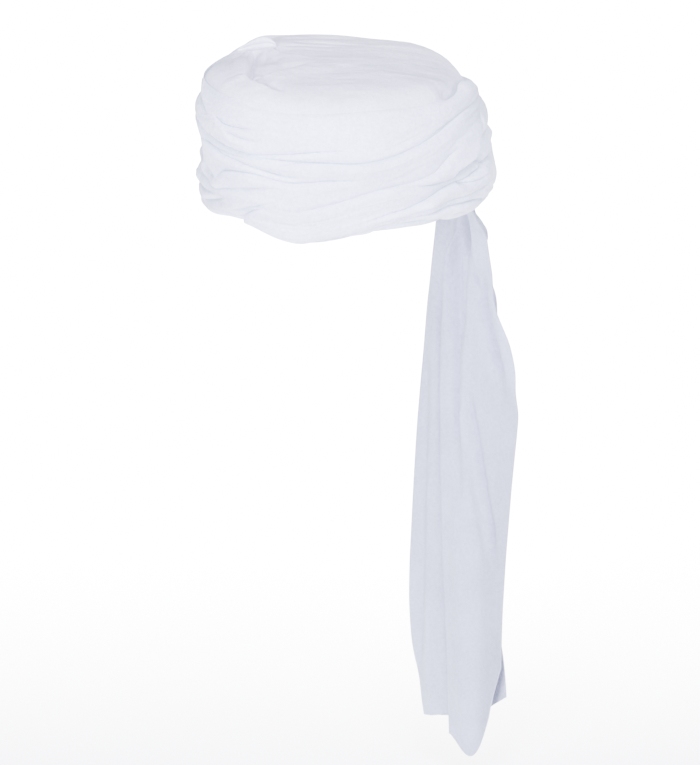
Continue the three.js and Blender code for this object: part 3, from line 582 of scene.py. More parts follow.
class Turban:
    """The shape of the cap and the winding, worked out from the sizes."""

    def __init__(self, scene):
        self.wind = scene.turban_winding
        self.crown = scene.turban_crown
        self.tail = scene.turban_tail
        side = self.wind.lean_heading
        self.lean_way = np.array([math.cos(side), math.sin(side)])
        step = self.tail.tuck_cloth + self.wind.layer_gap
        self.tuck_step = step
        self.tuck_clearance = TUCK_CLEARANCE_SHARE * self.wind.cloth_gap
        self.pocket_depth = (
            step * (TAIL_PANELS - 1) + self.tail.tuck_cloth + 2 * self.tuck_clearance - self.wind.cloth_gap
        )
        rim = self.wind.cap_wall + self.crown.swell
        self.crown_half = np.array([self.wind.head_width / 2 + rim, self.wind.head_depth / 2 + rim])
        self.crown_middle = -self.wind.lean * self.lean_way
        self.mean_edge = float(np.mean(self.crown_edge(np.array([row.heading for row in EDGES], float))))

    def edge(self, key, heading):
        """Height of the rim or of a turn's upper edge."""
        return self.wind.height * through_rows(EDGES, Edge._fields.index(key), heading, FULL_TURN)

    def on_oval(self, heading, out, z, lean):
        """Places on the oval of the head opening, moved out and aside."""
        angle = np.radians(heading)
        x = (self.wind.head_width / 2 + out) * np.sin(angle) + lean * self.lean_way[0]
        y = -(self.wind.head_depth / 2 + out) * np.cos(angle) + lean * self.lean_way[1]
        return np.stack(np.broadcast_arrays(x, y, z), axis=-1)

    def crown_edge(self, heading):
        """Height of the crown's edge, just over the winding."""
        return self.edge("crown", heading) + self.wind.top_slant + self.crown.foot

    def cap_side(self, heading, z, clearance):
        """The cap's outside, with a clearance added."""
        grown = smooth((z - self.crown_edge(heading)) / self.crown.swell_reach + 1)
        out = self.wind.cap_wall + self.crown.swell * grown + clearance
        return self.on_oval(heading, out, z, -self.wind.lean * grown)

    def nape_heading(self, across):
        """The heading at the nape of a place across the wearer's back."""
        half = self.wind.head_width / 2 + self.wind.cap_wall + self.pocket_depth / 2
        return FULL_TURN / 2 - math.degrees(math.asin(min(1.0, across / half)))

    def pocket_open(self, heading, z):
        """How far the pocket for the tail is open at a heading and a height."""
        start = self.nape_heading(self.tail.spread * TAIL_SECTIONS[0].free) - POCKET_MARGIN
        end = self.nape_heading(self.tail.spread * TAIL_SECTIONS[0].left) + POCKET_MARGIN
        off = np.abs(off_heading(heading, (start + end) / 2))
        around = 1 - smooth((off - (end - start) / 2) / POCKET_RAMP)
        return around * (1 - smooth((z - self.tail.tuck - POCKET_HEADROOM) / POCKET_FADE))

    def fold_relief(self, heading, z):
        """Relief and slip of all the seams and folds that cross a place on the winding."""
        wind = self.wind
        relief = np.zeros_like(z)
        slip = np.zeros_like(z)
        uneven = 1 + UNEVEN.share * ripple(UNEVEN, heading, z / UNEVEN_RISE)
        for key, rows in SEAMS.items():
            line = self.edge(key, heading)
            shown = self.roll_shown(heading) if key == "roll" else 1.0
            over = through_rows(rows, 1, heading, FULL_TURN)
            depth = through_rows(rows, 2, heading, FULL_TURN) * shown * uneven
            for side in (1, -1):
                lip = wind.seam_lip * np.maximum(0, side * over) * depth
                groove = wind.seam_groove * depth * smooth(0.5 + SEAM_TURN * side * over)
                grown, moved = crease_profile(side * (z - line), lip, groove, 1.0, wind)
                relief += grown
                slip += side * moved
        for number, fold in enumerate(FOLDS):
            first, last = fold.line[0][0], fold.line[-1][0]
            middle = (first + last) / 2
            turned = off_heading(heading, middle) + middle
            fade = run_fade((turned - first) / (last - first), fold.fades)
            near = fade > 0
            if not near.any():
                continue
            at = turned[near]
            row = number + 0.5
            line = wind.height * through_rows(fold.line, 1, at)
            line = line + wind.waver * soft_noise(at / WANDER_WAVE, row, WANDER_SEED)
            strength = fade[near] * uneven[near]
            breadth = fold.breadth * (1 + BREADTH_SHARE * soft_noise(at / BREADTH_WAVE, row, BREADTH_SEED))
            grown, moved = crease_profile(
                fold.over * (z[near] - line), wind.lip * fold.lip * strength,
                wind.groove * fold.groove * strength, breadth, wind)
            relief[near] += grown
            slip[near] += fold.over * moved
        return relief, slip

    def wrinkles(self, heading, level):
        """Long soft wrinkles that follow the turns; the level counts turns from the rim up."""
        drifted = level + DRIFT.share * ripple(DRIFT, heading, level)
        total = 0.0
        for row in WRINKLES:
            wave = ripple(row, heading, drifted)
            total = total + row.share * (0.5 - np.abs(wave) if row.sharp else wave)
        return self.wind.wrinkle * total

    def wind_side(self, heading, z, level=None):
        """The winding's outside, with its folds where a level is given."""
        wind = self.wind
        share = z / wind.height
        thick = wind.thickness * through_rows(OUTLINE, 1, share)
        lean = wind.lean * through_rows(OUTLINE, 2, share)
        least = wind.cap_wall + self.crown.swell + wind.cloth_gap + TOP_CLOTH
        out = wind.cap_wall + thick
        for row in SWELLS:
            around = off_heading(heading, row.heading) / row.round_reach
            up = (share - row.height) / row.up_reach
            out = out + row.out * np.exp(-around ** 2 - up ** 2)
        pocket = wind.cap_wall + wind.cloth_gap + self.pocket_depth + POCKET_COVER
        out = blend(out, np.maximum(out, pocket), self.pocket_open(heading, z))
        slip = 0.0
        if level is not None:
            relief, slip = self.fold_relief(heading, z)
            out = out + relief + self.wrinkles(heading, level)
        return self.on_oval(heading, np.maximum(least, out), z + slip, lean)

    def pocket_share(self, heading, z):
        """The share of the winding that the pocket takes from within."""
        wall = self.wind_side(heading, z) - self.cap_side(heading, z, self.wind.cloth_gap)
        return self.pocket_open(heading, z) * self.pocket_depth / np.linalg.norm(wall, axis=-1)

    def top_slant(self, heading):
        """How far the top edge climbs inwards; it dips where the crown stands off from it."""
        return self.wind.top_slant - self.wind.top_dip * through_rows(TOP_DIP, 1, heading, FULL_TURN)

    def roll_top(self, heading):
        """Height where the rim roll meets the turn above it."""
        return np.maximum(self.edge("roll", heading), self.edge("rim", heading))

    def roll_shown(self, heading):
        """How far the rim roll shows below the turn above it, from 0 to 1."""
        return smooth((self.edge("roll", heading) - self.edge("rim", heading)) / self.wind.roll_shown)

    def roll_share(self, heading):
        """How far out the rim roll reaches."""
        return blend(ROLL_HIDDEN_SHARE, 1, self.roll_shown(heading))

    def dome(self, heading, rho):
        """A place on the crown's dome: rho is 1 at its edge and 0 at its top."""
        edge = self.cap_side(heading, self.crown_edge(heading), 0)
        middle = self.crown_middle
        x = blend(middle[0], edge[..., 0], rho)
        y = blend(middle[1], edge[..., 1], rho)
        aside = (x - middle[0]) * self.lean_way[0] + (y - middle[1]) * self.lean_way[1]
        rise = self.crown.rise * (1 - rho ** DOME_FULL) ** (1 / DOME_SHOULDER)
        foot = blend(self.mean_edge, edge[..., 2], rho * rho)
        z = foot + rise - (1 - rho ** TILT_FADE) * self.crown.tilt * aside
        return np.stack([x, y, z], axis=-1)

    def crown_place(self, places):
        """Places in plan as shares of the crown's half width and half depth from its middle."""
        return (places - self.crown_middle) / self.crown_half


def run_fade(along, fades):
    """How strong a fold is along its run: it fades in and out over its two shares."""
    return smooth(along / fades[0]) * smooth((1 - along) / fades[1])


class Layer:
    """One turn of the winding: its lower and upper edges and how far it reaches in and out."""

    def __init__(self, turban, name, foot, foot_slant, top, top_slant, level, outer=None):
        self.turban = turban
        self.name = name
        self.foot = foot
        self.foot_slant = foot_slant
        self.top = top
        self.top_slant = top_slant
        self.level = level
        self.outer = outer or (lambda heading: np.ones_like(heading))

    def rings(self):
        """Rings of points that go once round the layer's section: face, top, back and foot."""
        shape = self.turban
        heading = FULL_TURN / 2 + np.arange(STATIONS) * FULL_TURN / STATIONS
        foot, top = self.foot(heading), self.top(heading)
        inner_top = shape.pocket_share(heading, top)
        inner_foot = shape.pocket_share(heading, foot)
        outer = self.outer(heading)
        top_slant = self.top_slant(heading)

        def within(z, share, level=None):
            near = shape.cap_side(heading, z, shape.wind.cloth_gap)
            far = shape.wind_side(heading, z, level)
            return near + (far - near) * np.asarray(share)[..., None]

        def foot_at(share):
            return foot + self.foot_slant * (1 - share)

        def top_at(share):
            return top + top_slant * (1 - share)

        rings = []
        rows = FACE_ROWS[self.name]
        for i in range(rows + 1):
            t = i / rows
            z = blend(foot_at(outer), top_at(outer), t)
            rings.append(within(z, outer, np.full_like(heading, self.level + t)))
        face_top, face_foot = rings[-1], rings[0]
        for i in range(1, EDGE_STEPS + 1):
            t = i / EDGE_STEPS
            end = within(top_at(inner_top), inner_top)
            rings.append(blend(face_top, end, t))
        for i in range(1, BACK_STEPS):
            z = blend(top_at(inner_top), foot_at(inner_foot), i / BACK_STEPS)
            rings.append(within(z, shape.pocket_share(heading, z)))
        for i in range(EDGE_STEPS, 0, -1):
            t = i / EDGE_STEPS
            end = within(foot_at(inner_foot), inner_foot)
            rings.append(blend(face_foot, end, t))
        return np.array(rings)


def make_mesh(name, points, faces, uvs=None):
    """A new smooth-shaded mesh object from points and four-sided faces."""
    mesh = bpy.data.meshes.new(name)
    mesh.from_pydata(points.reshape(-1, 3).tolist(), [], faces)
    mesh.validate()
    mesh.polygons.foreach_set("use_smooth", [True] * len(mesh.polygons))
    if uvs is not None:
        layer = mesh.uv_layers.new(name="cloth")
        corner = np.zeros(len(mesh.loops), dtype=np.int32)
        mesh.loops.foreach_get("vertex_index", corner)
        layer.data.foreach_set("uv", uvs.reshape(-1, 2)[corner].ravel())
    mesh.set_sharp_from_angle(angle=SHARP_ANGLE)
    mesh.update()
    piece = bpy.data.objects.new(name, mesh)
    bpy.context.scene.collection.objects.link(piece)
    return piece


def ring_faces(rows, columns, closed_rows):
    """Faces over rings of points, closed from the last ring to the first or by an end at each."""
    faces = []
    for r in range(rows if closed_rows else rows - 1):
        up = (r + 1) % rows
        for c in range(columns):
            on = (c + 1) % columns
            faces.append((r * columns + c, r * columns + on, up * columns + on, up * columns + c))
    if not closed_rows:
        last = (rows - 1) * columns
        faces += [tuple(reversed(range(columns))), tuple(range(last, last + columns))]
    return faces


def face_out(piece):
    """Turns all the faces of a closed piece outwards."""
    mesh = piece.data
    points = np.zeros(len(mesh.vertices) * 3)
    mesh.vertices.foreach_get("co", points)
    points = points.reshape(-1, 3)
    mesh.calc_loop_triangles()
    corners = np.zeros(len(mesh.loop_triangles) * 3, dtype=np.int32)
    mesh.loop_triangles.foreach_get("vertices", corners)
    a, b, c = (points[corners.reshape(-1, 3)[:, i]] for i in range(3))
    if np.einsum("ij,ij->", a, np.cross(b, c)) < 0:
        mesh.flip_normals()


# The jersey's look: its shader, how it is mottled and tinted, and its knit and crinkles.
JERSEY = {"Roughness": 0.92, "Specular IOR Level": 0.25, "Sheen Weight": 0.12, "Sheen Roughness": 0.6}
MOTTLE = {"Scale": 26.0, "Detail": 4.0, "Roughness": 0.65}
GRAIN = {"Scale": 420.0, "Detail": 3.0, "Roughness": 0.7}
TINTS = ({"at": 0.34, "tone": 0.80}, {"at": 0.62, "tone": 1.05})
WALE = 1.3 * MM
WALES = {"Scale": 1 / WALE / 2.0, "Distortion": 1.6, "Detail": 1.0, "Detail Scale": 2.0}
FUZZ = {"Scale": 900.0, "Detail": 3.0}
FUZZ_SHARE = 0.6
GRAIN_SHARE = 0.6
CROWN_GRAIN_SHARE = 0.45
KNIT = {"Strength": 0.9, "Distance": 0.4 * MM}
CRINKLE = {"Scale": 140.0, "Detail": 4.0}
CRINKLE_HEIGHT = {"Strength": 0.8, "Distance": 1.2 * MM}


def cloth_material(name, colour, grain_share=GRAIN_SHARE):
    """White cotton jersey: fine knit, soft mottling and a little sheen."""
    material = bpy.data.materials.new(name)
    material.use_nodes = True
    nodes, links = material.node_tree.nodes, material.node_tree.links
    nodes.clear()

    def add(kind, inputs):
        node = nodes.new(kind)
        for key, value in inputs.items():
            node.inputs[key].default_value = value
        return node

    def noise(inputs):
        node = add("ShaderNodeTexNoise", inputs)
        links.new(place.outputs["Object"], node.inputs["Vector"])
        return node

    def mix(a, b, share):
        node = add("ShaderNodeMix", {"Factor": share})
        node.data_type = "FLOAT"
        links.new(a.outputs["Fac"], node.inputs["A"])
        links.new(b.outputs["Fac"], node.inputs["B"])
        return node.outputs["Result"]

    output = nodes.new("ShaderNodeOutputMaterial")
    shader = add("ShaderNodeBsdfPrincipled", JERSEY)
    links.new(shader.outputs["BSDF"], output.inputs["Surface"])
    place = nodes.new("ShaderNodeTexCoord")

    tint = nodes.new("ShaderNodeValToRGB")
    for stop, row in zip(tint.color_ramp.elements, TINTS):
        stop.position = row["at"]
        stop.color = (*[min(1.0, row["tone"] * part) for part in colour], 1)
    links.new(mix(noise(MOTTLE), noise(GRAIN), grain_share), tint.inputs["Fac"])
    links.new(tint.outputs["Color"], shader.inputs["Base Color"])

    wales = add("ShaderNodeTexWave", WALES)
    wales.wave_type = "BANDS"
    wales.bands_direction = "Y"
    links.new(place.outputs["UV"], wales.inputs["Vector"])
    knit = add("ShaderNodeBump", KNIT)
    links.new(mix(wales, noise(FUZZ), FUZZ_SHARE), knit.inputs["Height"])
    crinkles = add("ShaderNodeBump", CRINKLE_HEIGHT)
    links.new(noise(CRINKLE).outputs["Fac"], crinkles.inputs["Height"])
    links.new(knit.outputs["Normal"], crinkles.inputs["Normal"])
    links.new(crinkles.outputs["Normal"], shader.inputs["Normal"])
    return material


def floor_material():
    """A plain matt paint for the floor."""
    material = bpy.data.materials.new("floor_paint")
    material.use_nodes = True
    shader = material.node_tree.nodes["Principled BSDF"]
    for key, value in FLOOR_PAINT.items():
        shader.inputs[key].default_value = value
    return material


def hand_over(piece, node, material):
    """Gives a finished piece its material, its body and the CAD node it replaces."""
    piece.data.materials.append(material)
    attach(piece, BODY)
    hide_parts(node)


def flat_places(along, up):
    """Flat places in metres over a grid, from its steps along the columns and up the rows."""
    u, v = np.meshgrid(np.concatenate([[0], np.cumsum(along)]), np.concatenate([[0], np.cumsum(up)]))
    return np.stack([u, v], axis=-1)


def ring_places(rings):
    """Flat places in metres over rings of points."""
    along = np.linalg.norm(np.roll(rings, -1, axis=1) - rings, axis=-1).mean(axis=0)
    up = np.linalg.norm(np.diff(rings, axis=0), axis=-1).mean(axis=1)
    return flat_places(along[:-1], up)


class TURBAN_OT_winding(bpy.types.Operator):
    """Wind the four turns of cloth round the head"""

    bl_idname = "turban.winding"
    bl_label = "Build Winding"

    def execute(self, context):
        shape = Turban(context.scene)
        wind = shape.wind
        half_gap = wind.shown_gap / 2
        layers = (
            Layer(shape, "rim_roll", lambda h: shape.edge("rim", h), wind.rim_slant,
                  lambda h: shape.roll_top(h) - half_gap, lambda h: wind.roll_slant, 0, shape.roll_share),
            Layer(shape, "lower_wrap", lambda h: shape.roll_top(h) + half_gap, wind.roll_slant,
                  lambda h: shape.edge("lower", h) - half_gap, lambda h: wind.layer_slant, 1),
            Layer(shape, "middle_wrap", lambda h: shape.edge("lower", h) + half_gap, wind.layer_slant,
                  lambda h: shape.edge("middle", h) - half_gap, lambda h: wind.layer_slant, 2),
            Layer(shape, "upper_wrap", lambda h: shape.edge("middle", h) + half_gap, wind.layer_slant,
                  lambda h: shape.edge("upper", h), shape.top_slant, 3),
        )
        material = cloth_material("winding_jersey", wind.cloth)
        for layer in layers:
            rings = layer.rings()
            faces = ring_faces(len(rings), STATIONS, closed_rows=True)
            piece = make_mesh(layer.name + "_cloth", rings, faces, ring_places(rings))
            face_out(piece)
            hand_over(piece, layer.name, material)
        return {"FINISHED"}


def line_distance(points, line):
    """Distances of places in plan from a smooth line and the shares of its run there.

    The distances are positive on the line's left.
    """
    rows = [(i, *place) for i, place in enumerate(line)]
    at = np.linspace(0, len(line) - 1, LINE_STEPS * len(line))
    xy = np.stack([through_rows(rows, 1, at), through_rows(rows, 2, at)], axis=-1)
    best = np.full(points.shape[:-1], np.inf)
    signed = np.zeros(points.shape[:-1])
    share = np.zeros(points.shape[:-1])
    for i in range(len(xy) - 1):
        run = xy[i + 1] - xy[i]
        off = points - xy[i]
        t = clamp((off @ run) / (run @ run))
        far = np.linalg.norm(off - t[..., None] * run, axis=-1)
        near = far < best
        left = np.sign(run[0] * off[..., 1] - run[1] * off[..., 0])
        best = np.where(near, far, best)
        signed = np.where(near, far * left, signed)
        share = np.where(near, (i + t) / (len(xy) - 1), share)
    return signed, share


# Fineness of the crown and of the lines that its creases follow.
CROWN_STATIONS = 720
JOIN_ROWS = 22
DOME_ROWS = 84
LINING_ROWS = 14
INSIDE_ROWS = 9
TOP_HOLE = 0.004
LINE_STEPS = 8

# The crown's sweep into the winding: where it starts on the dome, how far in and down from the
# winding's top edge it ends, how full it is, and where the creases are back at full height.
JOIN_RHO = 0.9
JOIN_SLOPE_STEP = 0.02
JOIN_INSET = 0.9 * MM
JOIN_SINK = 1.2 * MM
JOIN_FULL = 0.8
CREASE_START = 0.7
CROWN_LEVEL = 4.0

# Thickness of the lining under the crown in cap walls, at its middle and how much less at its
# edge.
LINING_WALLS = 2.6
LINING_THINNER = 2

# Creases are broader on the crown than in the winding. Its soft wrinkles: size of a wave, the
# cosine and sine of their slant, and each one's waves along and across, seed and share.
CREASE_WIDENING = 1.4
CROWN_WAVE = 20 * MM
CROWN_SLANT = (0.6, 0.8)
NOISE_START = 9
CrownWave = namedtuple("CrownWave", "along across seed share")
CROWN_WAVES = (CrownWave(0.35, 1.5, 21, 0.7), CrownWave(0.9, 4, 22, 0.3))


def crown_relief(shape, points):
    """Height of the creases and wrinkles over places on the crown."""
    crown = shape.crown
    half = np.array([shape.wind.head_width / 2, shape.wind.head_depth / 2])
    relief = np.zeros(points.shape[:-1])
    plan = shape.crown_place(points[..., :2]) * half
    for crease in CROWN_CREASES:
        across, along = line_distance(plan, [tuple(np.array(place) * half) for place in crease.line])
        fade = run_fade(along, crease.fades)
        relief += crease_profile(across, crown.lip * crease.lip * fade, crown.groove * crease.groove * fade,
                                 CREASE_WIDENING * crease.breadth, shape.wind)[0]
    x, y = plan[..., 0] / CROWN_WAVE, plan[..., 1] / CROWN_WAVE
    cosine, sine = CROWN_SLANT
    turned_x, turned_y = x * cosine + y * sine, y * cosine - x * sine
    soft, fine = (
        wave.share * soft_noise(turned_x * wave.along + NOISE_START, turned_y * wave.across + NOISE_START,
                                wave.seed)
        for wave in CROWN_WAVES
    )
    return relief + crown.wrinkle * (soft + fine)


def crown_outside(shape, heading):
    """Rings from the winding's top edge over the crown to its middle."""
    wind, crown = shape.wind, shape.crown
    join = clamp(through_rows(CROWN_JOIN, 1, heading, FULL_TURN))[:, None]
    top = shape.edge("upper", heading)
    outer = shape.wind_side(heading, top, np.full_like(heading, CROWN_LEVEL))
    near = shape.cap_side(heading, top, wind.cloth_gap)
    inward = (near - outer) / np.linalg.norm(near - outer, axis=-1)[:, None]
    joined = outer + inward * JOIN_INSET - np.array([0, 0, JOIN_SINK])
    open_edge = shape.cap_side(heading, shape.crown_edge(heading) - crown.swell_reach / 2, 0)
    start = blend(open_edge, joined, join)
    knee = shape.dome(heading, JOIN_RHO)
    slope = knee - shape.dome(heading, JOIN_RHO - JOIN_SLOPE_STEP)
    slope /= np.linalg.norm(slope, axis=-1)[:, None]
    reach = np.linalg.norm((start - knee)[:, :2], axis=-1)
    control = knee + slope * (JOIN_FULL * reach)[:, None]
    rings = []
    for i in range(JOIN_ROWS):
        t = i / JOIN_ROWS
        rings.append((1 - t) ** 2 * start + 2 * t * (1 - t) * control + t ** 2 * knee)
    for i in range(DOME_ROWS + 1):
        rings.append(shape.dome(heading, blend(JOIN_RHO, TOP_HOLE, i / DOME_ROWS)))
    rings = np.array(rings)
    fade = smooth(np.arange(len(rings)) / (CREASE_START * JOIN_ROWS))[:, None]
    rings[..., 2] += crown_relief(shape, rings) * fade
    return list(rings)


def cap_inside(shape, heading):
    """Rings from the middle of the lining down the inside of the cap and up its outside."""
    wind, crown = shape.wind, shape.crown
    foot = shape.edge("rim", heading) + crown.cap_foot
    shoulder = shape.crown_edge(heading) - crown.swell_reach
    rings = []
    for rho in np.linspace(0.0, 1.0, LINING_ROWS):
        place = shape.dome(heading, np.maximum(TOP_HOLE, rho))
        flat = place[:, :2] * (1 - wind.cap_wall / np.linalg.norm(place[:, :2], axis=-1)[:, None])
        height = place[:, 2] - wind.cap_wall * (LINING_WALLS - LINING_THINNER * rho ** 4)
        rings.append(np.concatenate([flat, height[:, None]], axis=-1))
    for t in np.linspace(0, 1, INSIDE_ROWS):
        rings.append(shape.on_oval(heading, 0, blend(shoulder, foot, t), 0))
    return rings + [shape.cap_side(heading, foot, 0), shape.cap_side(heading, shoulder, 0)]


def add_tube(name, node, rings, material):
    """Makes a piece of the crown from rings that are closed by an end at each side."""
    rings = np.array(rings)
    faces = ring_faces(len(rings), rings.shape[1], closed_rows=False)
    piece = make_mesh(name, rings, faces, rings[..., :2].copy())
    face_out(piece)
    hand_over(piece, node, material)


class TURBAN_OT_crown(bpy.types.Operator):
    """Stretch the crown's cloth over the head and line the cap"""

    bl_idname = "turban.crown"
    bl_label = "Build Crown"

    def execute(self, context):
        shape = Turban(context.scene)
        heading = np.arange(CROWN_STATIONS) * FULL_TURN / CROWN_STATIONS
        rings = cap_inside(shape, heading) + crown_outside(shape, heading)
        # The crown's jersey takes the crown's darkened colour, which is painted shade.
        material = cloth_material("crown_jersey", shape.crown.cloth, CROWN_GRAIN_SHARE)
        add_tube("crown_cap_cloth", "crown_cap", rings, material)
        return {"FINISHED"}


# The pinched knot: its place on the crown as shares, its fineness, how deep it sinks, and its
# form along its run: thin at its start, then thicker, and blunt at its end.
KNOT_PLACE = (-0.70, -0.18)
KNOT_RINGS = 60
KNOT_SIDES = 64
KNOT_SINK = 0.35
KNOT_THIN = 0.3
KNOT_TAPER = 0.7
KNOT_POINT = 0.08
KNOT_BLUNT = 0.62
KNOT_LEAST = 0.02
KNOT_SWAY = 2 * MM
KNOT_SWAY_RATE = 4

# The knot's shallow pleats, and the crevice that winds along it.
PLEAT_DEPTH = 0.12
PLEAT_TWIST = 3.0
CREVICE_DEPTH = 0.75
CREVICE_ANGLE = 2.3
CREVICE_WIDTH = 0.26
CREVICE_SWAY = 0.5
CREVICE_SWAY_RATE = 3.5
CREVICE_SWAY_START = 0.4


class TURBAN_OT_knot(bpy.types.Operator):
    """Pinch the end of the cloth into a small pleated knot on the crown"""

    bl_idname = "turban.knot"
    bl_label = "Build Knot"

    def execute(self, context):
        shape = Turban(context.scene)
        crown = shape.crown
        centre = shape.crown_middle + np.array(KNOT_PLACE) * shape.crown_half
        along = shape.lean_way
        beside = np.array([-along[1], along[0]])
        angle = np.arange(KNOT_SIDES) * 2 * math.pi / KNOT_SIDES
        rings = []
        for i in range(KNOT_RINGS + 1):
            share = i / KNOT_RINGS
            taper = blend(KNOT_THIN, 1.0, smooth(share / KNOT_TAPER))
            end = math.sqrt(max(0.0, 1 - max(0.0, (share - KNOT_BLUNT) / (1 - KNOT_BLUNT)) ** 2))
            start = math.sqrt(min(1.0, share / KNOT_POINT))
            size = max(KNOT_LEAST, taper * end * start)
            sway = CREVICE_SWAY * math.sin(CREVICE_SWAY_RATE * share + CREVICE_SWAY_START)
            crevice = np.exp(-((angle - CREVICE_ANGLE - sway) / CREVICE_WIDTH) ** 2)
            pleat = 1 + PLEAT_DEPTH * np.cos(crown.knot_folds * angle + PLEAT_TWIST * share)
            pleat = pleat - CREVICE_DEPTH * crevice
            aside = beside * KNOT_SWAY * math.sin(KNOT_SWAY_RATE * share)
            middle = centre + along * crown.knot_length * (share - 0.5) + aside
            xy = middle + (size * pleat * crown.knot_width / 2 * np.cos(angle))[:, None] * beside
            shares = shape.crown_place(middle)
            heading = math.degrees(math.atan2(shares[0], -shares[1]))
            base = shape.dome(heading, min(1.0, float(np.linalg.norm(shares))))[2]
            up = size * crown.knot_height / 2 * (pleat * np.sin(angle) + 1 - KNOT_SINK)
            rings.append(np.concatenate([xy, (base + up)[:, None]], axis=-1))
        # The knot's jersey takes the crown's darkened colour too, which is painted shade.
        add_tube("crown_tuck_cloth", "crown_tuck", rings, cloth_material("knot_jersey", crown.cloth))
        return {"FINISHED"}


# Fineness of the tail.
PANEL_STEPS = (46, 26, 46, 40)
TURN_STEPS = 7
TUCK_ROWS = 14
HANG_ROWS = 190
HANG_SPACING = 1.15

# How fast a hollow fades in and out down its run, and the tail's soft wrinkles: breadth and
# length of a wave, seed and share.
HOLLOW_FADES = (0.25, 0.25)
TailWave = namedtuple("TailWave", "breadth length seed share")
TAIL_WAVES = (TailWave(9 * MM, 60 * MM, 31, 1.0), TailWave(4 * MM, 28 * MM, 32, 0.4))


class Tail:
    """The folded cloth of the tail."""

    def __init__(self, shape):
        self.shape = shape
        self.sizes = shape.tail

    def run(self):
        """Places across the cloth: panel, share across the panel, share of the turn."""
        places = []
        for panel, steps in enumerate(PANEL_STEPS):
            places += [(panel, i / steps, 0.0) for i in range(steps + 1)]
            if panel < TAIL_PANELS - 1:
                places += [(panel, 1.0, i / TURN_STEPS) for i in range(1, TURN_STEPS)]
        return np.array(places)

    def point(self, run, z):
        """The middle of the cloth at places along its width and a height for each."""
        sizes, wind = self.sizes, self.shape.wind
        share = clamp(-z / sizes.drop)
        columns = range(1, len(Section._fields))
        ends = np.array([sizes.spread * through_rows(TAIL_SECTIONS, column, share) for column in columns])
        panel = run[:, 0].astype(int)
        index = np.arange(len(run))
        start, end = ends[panel, index], ends[panel + 1, index]
        hang = smooth(-z / sizes.flare_drop)
        step = blend(self.shape.tuck_step, sizes.hang_step, hang)
        bulge = np.sin(math.pi * run[:, 2]) * step / 2
        x = blend(start, end, run[:, 1]) + np.sign(end - start) * bulge
        layer = panel + (1 - np.cos(math.pi * run[:, 2])) / 2
        first = wind.cap_wall + self.shape.tuck_clearance + sizes.tuck_cloth / 2
        tucked = first + self.shape.tuck_step * layer
        half_width = wind.head_width / 2 + tucked
        tucked_y = (wind.head_depth / 2 + tucked) * np.sqrt(np.maximum(0, 1 - (x / half_width) ** 2))
        hung_y = (
            wind.head_depth / 2 + sizes.set_back + sizes.hang_step * (layer - (TAIL_PANELS - 1) / 2)
            + sizes.twist * (x - sizes.spread / 4)
        )
        hollow = np.zeros_like(x)
        for row in TAIL_HOLLOWS:
            t = (share - row.top) / (row.foot - row.top)
            far = (x / sizes.spread - blend(row.start, row.end, t)) / row.width
            fade = run_fade(t, HOLLOW_FADES) * (panel >= row.panel)
            hollow += sizes.hollow_depth * row.depth * fade * np.exp(-far * far)
        wave = sum(row.share * soft_noise(x / row.breadth, -z / row.length, row.seed) for row in TAIL_WAVES)
        hollow += sizes.wrinkle * wave * hang
        return np.stack([x, blend(tucked_y, hung_y + hollow, hang), z], axis=-1)

    def grid(self):
        """The middle surface of the cloth, from the top of its tuck to its hem."""
        run = self.run()
        rows = []
        for i in range(TUCK_ROWS):
            rows.append(self.point(run, np.full(len(run), self.sizes.tuck * (1 - i / TUCK_ROWS))))
        depth = self.sizes.drop * through_rows(TAIL_HEM, 1, run[:, 0] + run[:, 1])
        for i in range(HANG_ROWS + 1):
            rows.append(self.point(run, -depth * (i / HANG_ROWS) ** HANG_SPACING))
        return np.array(rows)


def sheet_points(grid, thickness):
    """Both faces of a cloth, half its thickness either side of its middle surface."""
    normal = np.cross(np.gradient(grid, axis=0), np.gradient(grid, axis=1))
    normal /= np.maximum(1e-12, np.linalg.norm(normal, axis=-1))[..., None]
    return np.array([grid + normal * thickness / 2, grid - normal * thickness / 2])


def sheet_faces(rows, columns):
    """Faces of a cloth with two sides, closed round its edges."""
    back = rows * columns
    faces = []
    for r in range(rows - 1):
        for c in range(columns - 1):
            a, b = r * columns + c, (r + 1) * columns + c
            faces.append((a, b, b + 1, a + 1))
            faces.append((back + a, back + a + 1, back + b + 1, back + b))
    for r in range(rows - 1):
        a, b = r * columns, (r + 1) * columns
        faces.append((a, back + a, back + b, b))
        a, b = a + columns - 1, b + columns - 1
        faces.append((a, b, back + b, back + a))
    last = (rows - 1) * columns
    for c in range(columns - 1):
        faces.append((c, c + 1, back + c + 1, back + c))
        a = last + c
        faces.append((a, back + a, back + a + 1, a + 1))
    return faces


class TURBAN_OT_tail(bpy.types.Operator):
    """Hang the folded tail at the nape"""

    bl_idname = "turban.tail"
    bl_label = "Build Tail"

    def execute(self, context):
        shape = Turban(context.scene)
        grid = Tail(shape).grid()
        points = sheet_points(grid, shape.tail.cloth_thickness)
        steps = np.linalg.norm(np.diff(grid, axis=1), axis=-1)
        down = np.linalg.norm(np.diff(grid, axis=0), axis=-1).mean(axis=1)
        flat = flat_places(steps.max(axis=0), down)
        piece = make_mesh("tail_cloth", points, sheet_faces(*grid.shape[:2]), np.array([flat, flat]))
        face_out(piece)
        # The tail's jersey takes the tail's darkened colour, which is painted shade.
        hand_over(piece, "tail", cloth_material("tail_jersey", shape.tail.cloth))
        return {"FINISHED"}


# The stage: floor below the tail and its pale paint, and the cool light of its lamps.
FLOOR_CLEARANCE = 25 * MM
FLOOR_SIZE = 14.0
FLOOR_PAINT = {"Base Color": (0.96, 0.96, 0.96, 1), "Roughness": 0.8, "Specular IOR Level": 0.1}
COOL_LIGHT = (0.765, 0.785, 1.0)
LIGHT_DISTANCE = 2.2

